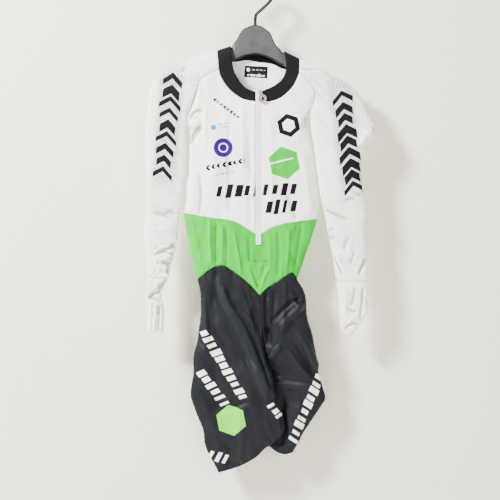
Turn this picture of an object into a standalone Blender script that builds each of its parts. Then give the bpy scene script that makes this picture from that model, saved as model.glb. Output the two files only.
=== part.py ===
"""A long-sleeved cycling skinsuit on a hanger.

Each panel of the suit is a closed cloth wall. Its outer face is a grid of points that spans the
panel's seams, and its inner face is that grid moved in along the cloth's normals. All lengths in
the tables are millimetres. X runs to the wearer's left, the front faces -Y and Z is up. The origin
is the highest point of the inside of the hanger's hook, where a rail carries it.
"""
import bmesh
import bpy
import numpy as np
from mathutils import Matrix, Vector
from mathutils.bvhtree import BVHTree

MM = 0.001

# Cloth
WALL = 1.4              # panel wall
COLLAR_WALL = 1.8       # doubled band
ZIP_WALL = 1.2
LABEL_WALL = 1.0
SEAM_GAP = 0.3          # free space between two panels at a seam
FORK_OPENING = 0.3      # opening under which a forked seam's edges turn side by side
BACK_SHARE = 0.85       # depth of the back half of a sleeve, as a share of the front half
ROUND_SHOULDER = 3.0    # superellipse power of sleeve sections
ROUND_BODY = 2.5        # superellipse power of body and leg sections

# Zip
ZIP_RIGHT_X, ZIP_LEFT_X = -2.0, 10.5    # edges of the two front panels
ZIP_TOP_Z, ZIP_TAB_Z = -250.0, -599.0
TAB_RISE = 1.9          # how far the tab at the foot lies in front of the waist panel

# Hook
WIRE_RADIUS = 3.5
HOOK_INNER_RADIUS = 30.0
STEM_X, STEM_FOOT_Z, STEM_TOP_Z = -2.8, -93.7, -70.0

# Grid sizes
HALF_RING = 8           # points from a sleeve's outer edge to its inner seam
CAP_ROWS = 8            # steps along the raglan seam
ARM_ROWS = 10           # steps from the underarm to the cuff seam
CUFF_ROWS = 4
SIDE_ROWS = 7           # steps from the underarm to the waist seam
WAIST_ROWS = 6
FRONT_COLS = 12         # points from the side to the centre on a front panel
BACK_COLS = 9
CROTCH_ROWS = 5
LEG_ROWS = 9

# Sleeve sections, from the collar's top edge to the cuff's hem.
# Row 0 is the collar's top edge over the shoulder, row 1 its seam, row 7 the underarm,
# row 16 the cuff seam and row 21 the hem.
SLEEVE_COLUMNS = ("front_x", "front_z", "back_x", "back_z", "outer_x", "outer_z",
                  "half_depth", "open", "mid_y")
SLEEVE_RIGHT = (
    (-56, -178, -56, -147, -59, -142, 14.5, 1.0, 0),
    (-86, -197, -82, -163, -90, -152, 15.0, 1.0, 0),
    (-112, -210, -107, -186, -123, -163, 14.5, 1.0, 0),
    (-129, -222, -123, -209, -160, -175, 14.0, 0.95, 0),
    (-135, -241, -132, -236, -194, -192, 14.0, 0.78, 0),
    (-142, -264, -141, -262, -227, -212, 14.0, 0.55, 0),
    (-151, -288, -151, -287, -244, -238, 14.0, 0.30, -0.5),
    (-159, -308, -159, -308, -249, -278, 13.5, 0.0, -2),
    (-161, -338, -161, -338, -254, -331, 13.0, 0.0, -4),
    (-159, -381, -159, -381, -254, -381, 12.0, 0.0, -7),
    (-160, -427, -160, -427, -251, -427, 12.0, 0.0, -8),
    (-168, -485, -168, -485, -251, -485, 12.0, 0.0, -8),
    (-175, -526, -175, -526, -254, -531, 11.5, 0.0, -8),
    (-179, -565, -179, -565, -257, -570, 11.0, 0.0, -8),
    (-186, -612, -186, -612, -253, -610, 11.0, 0.0, -8),
    (-195, -646, -195, -646, -250, -641, 10.5, 0.0, -8),
    (-203, -676, -203, -676, -250, -674, 10.0, 0.0, -8),
    (-216, -703, -216, -703, -252, -702, 9.5, 0.0, -8),
    (-217, -720, -217, -720, -253, -720, 9.5, 0.0, -8),
    (-213, -738, -213, -738, -247, -738, 9.5, 0.0, -8),
    (-212, -765, -212, -765, -246, -765, 9.5, 0.0, -8),
    (-214, -799, -214, -799, -254, -799, 10.0, 0.0, -8),
)
SLEEVE_LEFT = (
    (68, -188, 62, -161, 63, -154, 14.5, 1.0, 0),
    (97, -207, 93, -182, 99, -171, 15.0, 1.0, 0),
    (113, -221, 110, -204, 130, -185, 14.5, 1.0, 0),
    (127, -236, 124, -227, 162, -201, 14.0, 0.95, 0),
    (134, -252, 133, -248, 195, -219, 14.0, 0.78, 0),
    (132, -268, 132, -267, 221, -238, 14.0, 0.55, 0),
    (127, -284, 127, -283, 240, -264, 14.0, 0.30, -0.5),
    (119, -297, 119, -297, 256, -300, 13.5, 0.0, -2),
    (124, -331, 124, -331, 273, -333, 13.0, 0.0, -4),
    (129, -366, 129, -366, 258, -365, 12.5, 0.0, -7),
    (134, -404, 134, -404, 241, -404, 12.0, 0.0, -8),
    (139, -439, 139, -439, 239, -434, 12.0, 0.0, -8),
    (145, -485, 145, -485, 245, -485, 12.0, 0.0, -8),
    (154, -522, 154, -522, 251, -522, 11.5, 0.0, -8),
    (162, -568, 162, -568, 248, -566, 11.0, 0.0, -8),
    (173, -622, 173, -622, 251, -612, 11.0, 0.0, -8),
    (182, -684, 182, -684, 256, -684, 10.0, 0.0, -8),
    (187, -716, 187, -716, 254, -716, 9.5, 0.0, -8),
    (189, -744, 189, -744, 256, -740, 9.5, 0.0, -8),
    (190, -764, 190, -764, 254, -756, 9.5, 0.0, -8),
    (191, -782, 191, -782, 238, -778, 9.5, 0.0, -8),
    (193, -798, 193, -798, 215, -812, 8.5, 0.0, -8),
)
COLLAR_ROW, UNDERARM_ROW, CUFF_ROW, HEM_ROW = 1, 7, 16, 21

# Seam lines seen from the front. Columns x, z.
NECK_RIGHT = ((-86, -197), (-84, -208), (-77, -223), (-66, -239), (-49, -255), (-31, -266), (-2, -272))
NECK_LEFT = ((97, -207), (92, -221), (82, -239), (72, -250), (54, -264), (36, -271), (10.5, -273))
NECK_BACK_RIGHT = ((-82, -163), (-56, -176), (-20, -173), (4, -177))
NECK_BACK_LEFT = ((93, -182), (68, -193), (36, -181), (4, -177))
COLLAR_TOP_RIGHT = ((-56, -178), (-51, -202), (-44, -216), (-26, -239), (-2, -250))
COLLAR_TOP_LEFT = ((68, -188), (66, -202), (58, -220), (42, -234), (12, -248))
COLLAR_BACK_RIGHT = ((-56, -147), (-30, -142), (4, -143))
COLLAR_BACK_LEFT = ((62, -161), (35, -148), (4, -143))
WAIST_RIGHT = ((-169, -526), (-107, -537), (-49, -547), (-26, -559), (-15, -567), (-2, -575))
WAIST_LEFT = ((140, -540), (95, -546), (54, -554), (31, -562), (10.5, -575))
WAIST_POINT = (4, -580.5)
WAIST_BACK_RIGHT = ((-169, -526), (-107, -536), (4, -545))
WAIST_BACK_LEFT = ((140, -540), (80, -544), (4, -545))
HIP_RIGHT = ((-136, -678), (-109, -657), (-91, -648), (-74, -647), (-52, -661), (-21, -684), (7, -714))
HIP_LEFT = ((94, -678), (82, -663), (70, -668), (49, -682), (22, -699), (7, -714))
HIP_BACK_RIGHT = ((-136, -678), (-70, -684), (7, -690))
HIP_BACK_LEFT = ((94, -678), (50, -684), (7, -690))
HEM_RIGHT = ((-88, -1123), (-42, -1107), (-7, -1086), (25, -1061))
HEM_LEFT = ((85, -1075), (68, -1079), (50, -1076), (26, -1062), (5, -1050))

# Side seams. Columns x, z, y.
SIDE_RIGHT = ((-159, -308, -2), (-155, -324, -1), (-154, -350, 0), (-155, -381, 0), (-158, -427, 0),
              (-164, -473, 0), (-169, -526, 0))
SIDE_LEFT = ((119, -297, -2), (115.5, -312, -1), (118, -334, 0), (125, -366, 0), (131, -404, 0),
             (136, -439, 0), (141, -473, 0), (144, -503, 0), (140, -540, 0))
SIDE_WAIST_RIGHT = ((-169, -526, 0), (-162, -561, 0), (-155, -592, 0), (-146, -634, 0), (-136, -678, 0))
SIDE_WAIST_LEFT = ((140, -540, 0), (130, -572, 0), (120, -603, 0), (107, -641, 0), (94, -678, 0))

# Legs. Columns x, z, open: 1 where the two legs are still joined, 0 where the leg is its own tube.
CROTCH_FRONT = ((7, -714, 1), (10, -745, 0.97), (13, -782, 0.85), (16, -820, 0.55), (20, -848, 0))
CROTCH_BACK = ((7, -690, 1), (10, -730, 0.97), (13, -775, 0.85), (16, -818, 0.55), (20, -848, 0))
INSEAM_RIGHT = ((20, -848, 0), (20, -858, 0), (24, -873, 0), (33, -896, 0), (43, -938, 0),
                (52, -968, 0), (63, -1000, 0), (65, -1020, 0), (55, -1036, 0), (39, -1051, 0),
                (25, -1061, 0))
INSEAM_LEFT = ((20, -848, 0), (23, -857, 0), (26, -872, 0), (28, -898, 0), (25, -945, 0),
               (15, -1000, 0), (5, -1050, 0))
OUTSEAM_RIGHT = ((-136, -678), (-130, -710), (-128, -752), (-134, -798), (-139, -830), (-146, -857),
                 (-146, -890), (-152, -946), (-141, -982), (-123, -1028), (-120, -1055), (-109, -1084),
                 (-97, -1105), (-88, -1123))
OUTSEAM_LEFT = ((94, -678), (110, -710), (118, -768), (130, -809), (134, -837), (141, -886),
                (154, -929), (159, -950), (145, -975), (120, -1013), (99, -1048), (85, -1075))
LEG_SHIFT_RIGHT, LEG_SHIFT_LEFT = -14.0, 13.0   # the right leg lies in front of the left one

# Half depth of the body. Columns z, front, back.
BODY_DEPTH = ((-1130, 11, 9), (-1000, 14, 12), (-900, 17, 15), (-800, 21, 18), (-700, 23, 19),
              (-620, 23, 18), (-550, 23, 18), (-450, 25, 18), (-350, 23, 17), (-272, 18, 14),
              (-190, 15, 13), (-140, 15, 13))

# Largest folds, as soft ridges (rise > 0) or troughs. Columns node, x0, z0, x1, z1, width, rise.
FOLDS = (
    ("shorts_front_right", -62, -735, -8, -838, 15, 6),
    ("shorts_front_right", -8, -838, 40, -958, 15, 5),
    ("shorts_front_right", -92, -650, -84, -740, 12, -4),
    ("shorts_front_right", -85, -775, -45, -845, 14, -3),
    ("shorts_front_right", -62, -975, -15, -945, 14, -3),
    ("shorts_front_right", -110, -900, -80, -1060, 22, 3),
    ("shorts_front_left", 82, -740, 130, -880, 12, 4),
    ("shorts_front_left", 66, -790, 120, -910, 12, -4),
    ("shorts_front_left", 20, -880, 60, -905, 12, -4),
    ("shorts_front_left", 60, -960, 110, -1000, 18, 3),
    ("shorts_back_right", -90, -760, -50, -960, 16, 4),
    ("shorts_back_right", -60, -720, -10, -900, 14, -4),
    ("shorts_back_right", -110, -1000, -40, -1050, 16, 3),
    ("shorts_back_left", 60, -740, 110, -900, 16, -4),
    ("shorts_back_left", 90, -860, 70, -1020, 16, 3),
    ("waist_front", -112, -545, -104, -640, 9, 3),
    ("waist_front", -50, -560, -32, -650, 10, 3),
    ("waist_front", 72, -560, 66, -650, 10, 3),
    ("waist_back", -70, -550, -60, -670, 14, 3),
    ("waist_back", 60, -555, 50, -670, 14, 3),
    ("front_right", -118, -290, -124, -500, 12, -3),
    ("front_right", -85, -300, -92, -520, 14, 2.5),
    ("front_right", -33, -290, -30, -400, 12, 2.5),
    ("front_right", -150, -320, -110, -345, 10, -3),
    ("front_left", 60, -300, 72, -520, 16, 2.5),
    ("front_left", 95, -310, 108, -480, 14, -3),
    ("front_left", 118, -300, 60, -262, 11, -2.5),
    ("back", -70, -300, -90, -500, 18, 3),
    ("back", 40, -280, 60, -500, 18, -3),
    ("back", -20, -240, -25, -420, 16, 2.5),
    ("sleeve_right", -178, -302, -215, -290, 12, -2),
    ("sleeve_right", -185, -560, -250, -600, 11, 3),
    ("sleeve_right", -205, -592, -240, -582, 10, -2),
    ("sleeve_right", -195, -640, -250, -655, 10, 3),
    ("sleeve_right", -205, -340, -215, -480, 16, 3),
    ("sleeve_left", 146, -318, 225, -300, 13, -2),
    ("sleeve_left", 140, -455, 220, -470, 11, 3),
    ("sleeve_left", 158, -520, 215, -545, 10, 3),
    ("sleeve_left", 170, -380, 205, -520, 16, 2.5),
    ("sleeve_left", 200, -590, 225, -670, 14, 3),
)

# Hanger hub between the shoulders. Columns x, top z, bottom z, half thickness.
HUB = (
    (-82, -153.0, -186, 3.0), (-70, -149.8, -182.5, 3.2), (-61, -147.0, -179, 3.6),
    (-57, -144.0, -177.5, 3.8), (-53, -136.5, -176.3, 4.8), (-49, -131.0, -175, 6.4),
    (-44, -124, -172.5, 7.4), (-38, -112.5, -170, 8), (-29, -102.5, -166.5, 8),
    (-17, -97, -163.5, 8), (-8, -94, -162, 8), (3, -94, -162, 8),
    (14, -98, -164.5, 8), (25, -106, -168.5, 8), (33, -114, -172, 8),
    (38, -126.5, -174.5, 7.6), (45, -140, -178.5, 6.8), (54, -149.0, -183.5, 4.8),
    (60, -157.4, -186.5, 3.6), (74, -164.0, -193, 3.2), (88, -169.6, -199, 3.0),
)
ARM_DROP = 2.5          # arm's top edge below the ridge of the shoulder, cloth wall included
ARM_HEIGHT_ROOT, ARM_HEIGHT_TIP = 30.0, 11.0
ARM_HALF, ARM_HALF_TIP = 3.0, 2.2
ARM_TIP_X = 211.0
HANGER_SIDES = 12

# Slider and pull, in their own frame: X along the pin, -Z down the pull, -Y to the front.
PIN = (9.0, -23.6, -253.0)
PIN_TILT = np.radians(-18.0)
PIN_RADIUS, PIN_CLEARANCE = 0.8, 0.3
SLIDER_SIZE, SLIDER_FACE = (9.0, 3.0, 12.0), 2.3
LUG_SIZE, LUG_X = (1.5, 4.0, 3.4), 3.3
BARREL_RADIUS, BARREL_LENGTH, STALK_WIDTH = 1.9, 4.2, 3.5
PULL_RADIUS, PULL_HOLE, PULL_THICK = 9.6, 3.6, 2.2
PULL_DROP = 14.2        # from the pin to the ring's centre

# Neck label
LABEL_CENTRE, LABEL_SIZE, LABEL_TURN = (-1.0, -199.0), (54.0, 27.0), np.radians(-3.0)

WHITE, GREEN, NAVY = (0.86, 0.86, 0.84), (0.13, 0.80, 0.16), (0.017, 0.021, 0.032)
LOOKS = {               # colour, roughness, metallic
    "collar": ((0.013, 0.013, 0.018), 0.6, 0.0), "front_right": (WHITE, 0.6, 0.0),
    "front_left": (WHITE, 0.6, 0.0), "back": (WHITE, 0.6, 0.0), "sleeve_right": (WHITE, 0.6, 0.0),
    "sleeve_left": (WHITE, 0.6, 0.0), "cuff_right": (WHITE, 0.6, 0.0), "cuff_left": (WHITE, 0.6, 0.0),
    "waist_front": (GREEN, 0.5, 0.0), "waist_back": (GREEN, 0.5, 0.0),
    "shorts_front_right": (NAVY, 0.5, 0.0), "shorts_front_left": (NAVY, 0.5, 0.0),
    "shorts_back_right": (NAVY, 0.5, 0.0), "shorts_back_left": (NAVY, 0.5, 0.0),
    "zip": ((0.8, 0.8, 0.78), 0.6, 0.0), "zip_slider": ((0.62, 0.6, 0.58), 0.35, 0.6),
    "zip_pull": ((0.62, 0.42, 0.36), 0.5, 0.0), "neck_label": ((0.05, 0.05, 0.07), 0.6, 0.0),
    "hanger_body": ((0.09, 0.09, 0.09), 0.35, 0.0), "hanger_hook": ((0.01, 0.01, 0.01), 0.2, 0.0),
}

for old in list(bpy.data.objects):
    bpy.data.objects.remove(old, do_unlink=True)
suit = bpy.data.collections.new("cycling_skinsuit_on_hanger")
cutters = bpy.data.collections.new("cutters")
for collection in (suit, cutters):
    bpy.context.scene.collection.children.link(collection)


def smooth(t):
    """Smooth step from 0 to 1."""
    t = np.clip(t, 0.0, 1.0)
    return t * t * (3 - 2 * t)


def curve(rows, at, by_row=False):
    """Smooth curve through a table's rows, read at shares of its length or at row numbers."""
    points = np.asarray(rows, float)
    if by_row:
        knots = np.arange(len(points), dtype=float)
    else:
        knots = np.r_[0, np.cumsum(np.linalg.norm(np.diff(points[:, :2], axis=0), axis=1))]
        knots = knots / knots[-1]
    at = np.atleast_1d(np.asarray(at, float))
    slope = np.gradient(points, knots, axis=0)
    i = np.clip(np.searchsorted(knots, at, side="right") - 1, 0, len(points) - 2)
    step = (knots[i + 1] - knots[i])[:, None]
    t = (at[:, None] - knots[i][:, None]) / step
    return ((2 * t**3 - 3 * t**2 + 1) * points[i] + (t**3 - 2 * t**2 + t) * step * slope[i]
            + (3 * t**2 - 2 * t**3) * points[i + 1] + (t**3 - t**2) * step * slope[i + 1])


def depth(z, side):
    """Half depth of the body at height z, on the front or the back."""
    table = np.array(BODY_DEPTH, float)
    return np.interp(z, table[:, 0], table[:, 1 if side == "front" else 2])


def open_shares(count):
    """Shares from an outer edge (0) to a centre line (1), closer together near the edge."""
    t = np.linspace(0, 1, count)
    return 0.5 * t + 0.5 * (1 - np.cos(np.pi * t / 2) ** 0.8)


def shares(count, opening):
    """Shares across a tube's half, closer together near the edges that are rounded."""
    t = np.linspace(0, 1, count)
    near = 0.5 * np.interp(np.minimum(t, 1 - t) * 2, t, open_shares(count))
    closed = np.where(t <= 0.5, near, 1 - near)
    return (1 - opening) * closed + opening * open_shares(count)


def profile(f, opening, power):
    """Depth of a half section at share f: a quarter superellipse when open, a half one when not."""
    quarter = (1 - (1 - f) ** power) ** (1 / power)
    half = np.maximum(1 - np.abs(2 * f - 1) ** power, 0) ** (1 / power)
    return opening * quarter + (1 - opening) * half


def sleeve_grid(table, at):
    """Rows of a sleeve, each running from the front edge over the outer side to the back edge."""
    grid = []
    for row in curve(table, at, by_row=True):
        station = dict(zip(SLEEVE_COLUMNS, row))
        opening = float(np.clip(station["open"], 0, 1))
        f = shares(HALF_RING, opening)
        reach = station["half_depth"] * profile(f, opening, ROUND_SHOULDER)
        halves = []
        for edge, sign in (("front", -1.0), ("back", BACK_SHARE)):
            halves.append(np.column_stack((
                station["outer_x"] + (station[edge + "_x"] - station["outer_x"]) * f,
                station["mid_y"] + sign * reach,
                station["outer_z"] + (station[edge + "_z"] - station["outer_z"]) * f)))
        grid.append(np.vstack((halves[0][::-1], halves[1][1:])))
    return np.array(grid)


def patch(top, bottom, start, end, f):
    """Grid between four border lines, seen from the front. f gives each row's shares."""
    length = np.r_[0, np.cumsum(np.linalg.norm(np.diff(start, axis=0), axis=1)
                                + np.linalg.norm(np.diff(end, axis=0), axis=1))]
    v = (length / length[-1])[:, None, None]
    s = f[:, :, None]
    upper = np.array([curve(top, row) for row in f])
    lower = np.array([curve(bottom, row) for row in f])
    corners = ((1 - s) * (1 - v) * upper[0, 0] + s * (1 - v) * upper[0, -1]
               + (1 - s) * v * lower[0, 0] + s * v * lower[0, -1])
    return ((1 - v) * upper + v * lower + (1 - s) * start[:, None] + s * end[:, None]) - corners


def body_half(side, top, bottom, border, centre, count, power):
    """Half of a body panel, from its side border (x, y, z rows) to the centre line (x, z rows)."""
    f = np.tile(open_shares(count), (len(border), 1))
    xz = patch(top, bottom, border[:, (0, 2)], centre, f)
    sign = -1 if side == "front" else 1
    swell = (1 - (1 - f) ** power[:, None]) ** (1 / power[:, None])
    edge_y = border[:, 1][:, None]
    y = edge_y + (sign * depth(xz[..., 1], side) - edge_y) * swell
    return np.stack((xz[..., 0], y, xz[..., 1]), axis=-1)


def even_line(first, last, start_rows):
    """Straight centre line whose rows keep pace with those of a border."""
    length = np.r_[0, np.cumsum(np.linalg.norm(np.diff(start_rows, axis=0), axis=1))]
    t = (length / length[-1])[:, None]
    return np.asarray(first, float) + (np.asarray(last, float) - np.asarray(first, float)) * t


def leg_half(side, top, hem, outseam, crotch, inseam, shift, count):
    """Front or back half of a leg, from the outer seam to the centre seam and inseam."""
    upper = curve(crotch, np.linspace(0, 1, CROTCH_ROWS + 1))
    lower = curve(inseam, np.linspace(0, 1, LEG_ROWS + 1))[1:]
    inner = np.vstack((upper, lower))
    opening = np.clip(inner[:, 2], 0, 1)
    outer = curve(outseam, np.linspace(0, 1, len(inner)) ** 1.05)
    f = np.array([shares(count, e) for e in opening])
    xz = patch(top, hem, outer, inner[:, :2], f)
    sign = -1 if side == "front" else 1
    reach = np.array([profile(row, e, ROUND_BODY) for row, e in zip(f, opening)])
    settle = smooth((-850 - xz[..., 1]) / 50) * smooth((f - 0.25) / 0.5)
    y = sign * depth(xz[..., 1], side) * reach + shift * settle
    return np.stack((xz[..., 0], y, xz[..., 1]), axis=-1)


def normals_of(grid, outward):
    """Unit normals of a grid, turned to the side that the outward function points to."""
    n = np.cross(np.gradient(grid, axis=1), np.gradient(grid, axis=0))
    n /= np.linalg.norm(n, axis=-1, keepdims=True)
    return n * np.sign(np.sum(n * outward(grid)))


def away_from_back(grid):
    return np.broadcast_to(np.array((0.0, -1.0, 0.0)), grid.shape)


def away_from_front(grid):
    return np.broadcast_to(np.array((0.0, 1.0, 0.0)), grid.shape)


def away_from_middle(grid):
    return grid - grid.mean(axis=1, keepdims=True)


def raise_folds(name, grid, normals):
    """Move the grid along its normals over the folds that the table gives for the piece."""
    rows, cols = grid.shape[:2]
    window = (smooth(np.minimum(np.arange(rows), rows - 1 - np.arange(rows)) / 2)[:, None]
              * smooth(np.minimum(np.arange(cols), cols - 1 - np.arange(cols)) / 2)[None])
    total = np.zeros((rows, cols))
    for node, x0, z0, x1, z1, width, rise in FOLDS:
        if node != name:
            continue
        foot, run = np.array((x0, z0), float), np.array((x1 - x0, z1 - z0), float)
        rel = grid[..., (0, 2)] - foot
        t = np.clip(rel @ run / (run @ run), 0, 1)
        off = np.linalg.norm(rel - t[..., None] * run, axis=-1)
        total += rise * np.exp(-(off / width) ** 2)
    return grid + normals * (total * window)[..., None]


def line_of(array, edge, rows=slice(None)):
    """A view of one border of a grid: top, bottom, start or end."""
    return {"top": array[0], "bottom": array[-1],
            "start": array[rows, 0], "end": array[rows, -1]}[edge]


def share_normals(first, second, limit=-0.95):
    """Give two borders that meet at a seam the same normals, unless they face apart in a valley."""
    same = np.sum(first * second, axis=-1) > limit
    mean = first + second
    mean /= np.maximum(np.linalg.norm(mean, axis=-1, keepdims=True), 1e-9)
    first[same] = mean[same]
    second[same] = mean[same]


def draw_in(grid, normals, edge, amount):
    """Move one border of a grid into the panel, square to the seam."""
    border = line_of(grid, edge)
    inside = {"top": grid[1], "bottom": grid[-2], "start": grid[:, 1], "end": grid[:, -2]}[edge]
    along = np.gradient(border, axis=0)
    side = np.cross(line_of(normals, edge), along)
    side /= np.linalg.norm(side, axis=-1, keepdims=True)
    side *= np.sign(np.sum(side * (inside - border), axis=-1, keepdims=True))
    border += side * amount


def finish_object(name, obj):
    colour, rough, metal = LOOKS[name]
    material = bpy.data.materials.new(name + "_material")
    material.use_nodes = True
    shader = material.node_tree.nodes["Principled BSDF"]
    shader.inputs["Base Color"].default_value = (*colour, 1.0)
    shader.inputs["Roughness"].default_value = rough
    shader.inputs["Metallic"].default_value = metal
    obj.data.materials.clear()
    obj.data.materials.append(material)
    return obj


def add_mesh(name, points, faces):
    """One closed body with its faces outward, from points in millimetres."""
    mesh = bpy.data.meshes.new(name)
    mesh.from_pydata([tuple(p) for p in np.asarray(points) * MM], [], faces)
    work = bmesh.new()
    work.from_mesh(mesh)
    bmesh.ops.triangulate(work, faces=work.faces[:])
    if work.calc_volume(signed=True) < 0:
        bmesh.ops.reverse_faces(work, faces=work.faces[:])
    work.to_mesh(mesh)
    work.free()
    mesh.shade_smooth()
    mesh.set_sharp_from_angle(angle=np.radians(50))
    obj = bpy.data.objects.new(name, mesh)
    suit.objects.link(obj)
    return finish_object(name, obj)


def add_wall(name, grid, normals, thick):
    """Closed cloth wall: the outer grid, the grid moved in, and a rim round all four borders."""
    rows, cols = grid.shape[:2]
    points = np.vstack((grid.reshape(-1, 3), (grid - normals * thick).reshape(-1, 3)))
    index = np.arange(rows * cols).reshape(rows, cols)
    under = index + rows * cols
    faces = []
    for j in range(rows - 1):
        for i in range(cols - 1):
            faces.append((index[j, i], index[j, i + 1], index[j + 1, i + 1], index[j + 1, i]))
            faces.append((under[j, i], under[j + 1, i], under[j + 1, i + 1], under[j, i + 1]))
    ring = ([(0, i) for i in range(cols)] + [(j, cols - 1) for j in range(1, rows)]
            + [(rows - 1, i) for i in range(cols - 2, -1, -1)] + [(j, 0) for j in range(rows - 2, 0, -1)])
    for (j0, i0), (j1, i1) in zip(ring, ring[1:] + ring[:1]):
        faces.append((index[j0, i0], under[j0, i0], under[j1, i1], index[j1, i1]))
    return add_mesh(name, points, [tuple(int(k) for k in face) for face in faces])


# Sleeves and cuffs
cap = np.linspace(COLLAR_ROW, UNDERARM_ROW, CAP_ROWS + 1)
arm = np.linspace(UNDERARM_ROW, CUFF_ROW, ARM_ROWS + 1)
cuff = np.linspace(CUFF_ROW, HEM_ROW, CUFF_ROWS + 1)
grids, facing = {}, {}
for side, table in (("right", SLEEVE_RIGHT), ("left", SLEEVE_LEFT)):
    grids["sleeve_" + side] = sleeve_grid(table, np.r_[cap, arm[1:]])
    grids["cuff_" + side] = sleeve_grid(table, cuff)
    facing["sleeve_" + side] = facing["cuff_" + side] = away_from_middle

# Body panels between the raglan seams, the sides and the centre
cap_power = np.linspace(1.3, ROUND_BODY, CAP_ROWS + 1)
body_power = np.r_[cap_power, np.full(SIDE_ROWS, ROUND_BODY)]
waist_power = np.full(WAIST_ROWS + 1, ROUND_BODY)
back_halves, waist_front_halves, waist_back_halves = {}, {}, {}
for side, sleeve_name, side_seam, side_waist, neck, neck_back, waist, waist_back, hip, hip_back, zip_x in (
        ("right", "sleeve_right", SIDE_RIGHT, SIDE_WAIST_RIGHT, NECK_RIGHT, NECK_BACK_RIGHT, WAIST_RIGHT,
         WAIST_BACK_RIGHT, HIP_RIGHT, HIP_BACK_RIGHT, ZIP_RIGHT_X),
        ("left", "sleeve_left", SIDE_LEFT, SIDE_WAIST_LEFT, NECK_LEFT, NECK_BACK_LEFT, WAIST_LEFT,
         WAIST_BACK_LEFT, HIP_LEFT, HIP_BACK_LEFT, ZIP_LEFT_X)):
    sleeve = grids[sleeve_name]
    seam = curve(side_seam, np.linspace(0, 1, SIDE_ROWS + 1))[1:][:, (0, 2, 1)]
    front_border = np.vstack((sleeve[:CAP_ROWS + 1, 0], seam))
    back_border = np.vstack((sleeve[:CAP_ROWS + 1, -1], seam))
    centre = even_line((zip_x, neck[-1][1]), (zip_x, waist[-1][1]), front_border)
    grids["front_" + side] = body_half("front", neck, waist, front_border, centre, FRONT_COLS, body_power)
    facing["front_" + side] = away_from_back
    centre = even_line(neck_back[-1], waist_back[-1], back_border)
    back_halves[side] = body_half("back", neck_back, waist_back, back_border, centre, BACK_COLS, body_power)
    seam = curve(side_waist, np.linspace(0, 1, WAIST_ROWS + 1))[:, (0, 2, 1)]
    waist_top = np.vstack((grids["front_" + side][-1][:-1, (0, 2)], WAIST_POINT))
    centre = even_line(WAIST_POINT, hip[-1], seam)
    half = body_half("front", waist, hip, seam, centre, FRONT_COLS, waist_power)
    keep = (1 - np.linspace(0, 1, WAIST_ROWS + 1))[:, None, None]
    move = np.zeros_like(half[0])
    move[:, (0, 2)] = waist_top - half[0][:, (0, 2)]
    half = half + keep * move
    half[0, :-1, 1] = grids["front_" + side][-1][:-1, 1]
    waist_front_halves[side] = half
    centre = even_line(waist_back[-1], hip_back[-1], seam)
    waist_back_halves[side] = body_half("back", waist_back, hip_back, seam, centre, BACK_COLS, waist_power)
for name, halves, outward in (("back", back_halves, away_from_front),
                              ("waist_front", waist_front_halves, away_from_back),
                              ("waist_back", waist_back_halves, away_from_front)):
    grids[name] = np.hstack((halves["right"], halves["left"][:, ::-1][:, 1:]))
    facing[name] = outward

# Shorts
for side, outseam, inseam, hem, hip, hip_back, shift in (
        ("right", OUTSEAM_RIGHT, INSEAM_RIGHT, HEM_RIGHT, HIP_RIGHT, HIP_BACK_RIGHT, LEG_SHIFT_RIGHT),
        ("left", OUTSEAM_LEFT, INSEAM_LEFT, HEM_LEFT, HIP_LEFT, HIP_BACK_LEFT, LEG_SHIFT_LEFT)):
    grids["shorts_front_" + side] = leg_half("front", hip, hem, outseam, CROTCH_FRONT, inseam, shift, FRONT_COLS)
    grids["shorts_back_" + side] = leg_half("back", hip_back, hem, outseam, CROTCH_BACK, inseam, shift, BACK_COLS)
    facing["shorts_front_" + side] = away_from_back
    facing["shorts_back_" + side] = away_from_front

# Collar: its lower edge takes the points of the panels it is sewn to
def collar_edge(neck_parts, sections):
    parts = []
    for (front, back), section in zip(neck_parts, sections):
        parts.append(np.vstack((front[::-1], section[1:-1], back)))
    return np.vstack((parts[0], parts[1][::-1][1:]))


def with_depth(xz, start_y, end_y):
    t = np.linspace(0, 1, len(xz))
    return np.column_stack((xz[:, 0], start_y + (end_y - start_y) * t, xz[:, 1]))


lower_edge, upper_edge, upper_sections, lower_sections = [], [], [], []
for side, table, top_front, top_back in (
        ("right", SLEEVE_RIGHT, COLLAR_TOP_RIGHT, COLLAR_BACK_RIGHT),
        ("left", SLEEVE_LEFT, COLLAR_TOP_LEFT, COLLAR_BACK_LEFT)):
    lower_sections.append(grids["sleeve_" + side][0])
    upper_sections.append(sleeve_grid(table, [0])[0])
    lower_edge.append((grids["front_" + side][0], back_halves[side][0]))
    front_line = with_depth(curve(top_front, open_shares(FRONT_COLS)), upper_sections[-1][0, 1], -17.0)
    back_line = with_depth(curve(top_back, open_shares(BACK_COLS)), upper_sections[-1][-1, 1], 12.0)
    upper_edge.append((front_line, back_line))
bottom, top = collar_edge(lower_edge, lower_sections), collar_edge(upper_edge, upper_sections)
grids["collar"] = np.array([top + (bottom - top) * t for t in (0, 1 / 3, 2 / 3, 1)])
facing["collar"] = lambda grid: np.stack((np.zeros(grid.shape[:2]), grid[..., 1], np.full(grid.shape[:2], 4.0)),
                                         axis=-1)

# Folds and normals
normals = {}
for name in grids:
    normals[name] = normals_of(grids[name], facing[name])
    grids[name] = raise_folds(name, grids[name], normals[name])
    normals[name] = normals_of(grids[name], facing[name])

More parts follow.
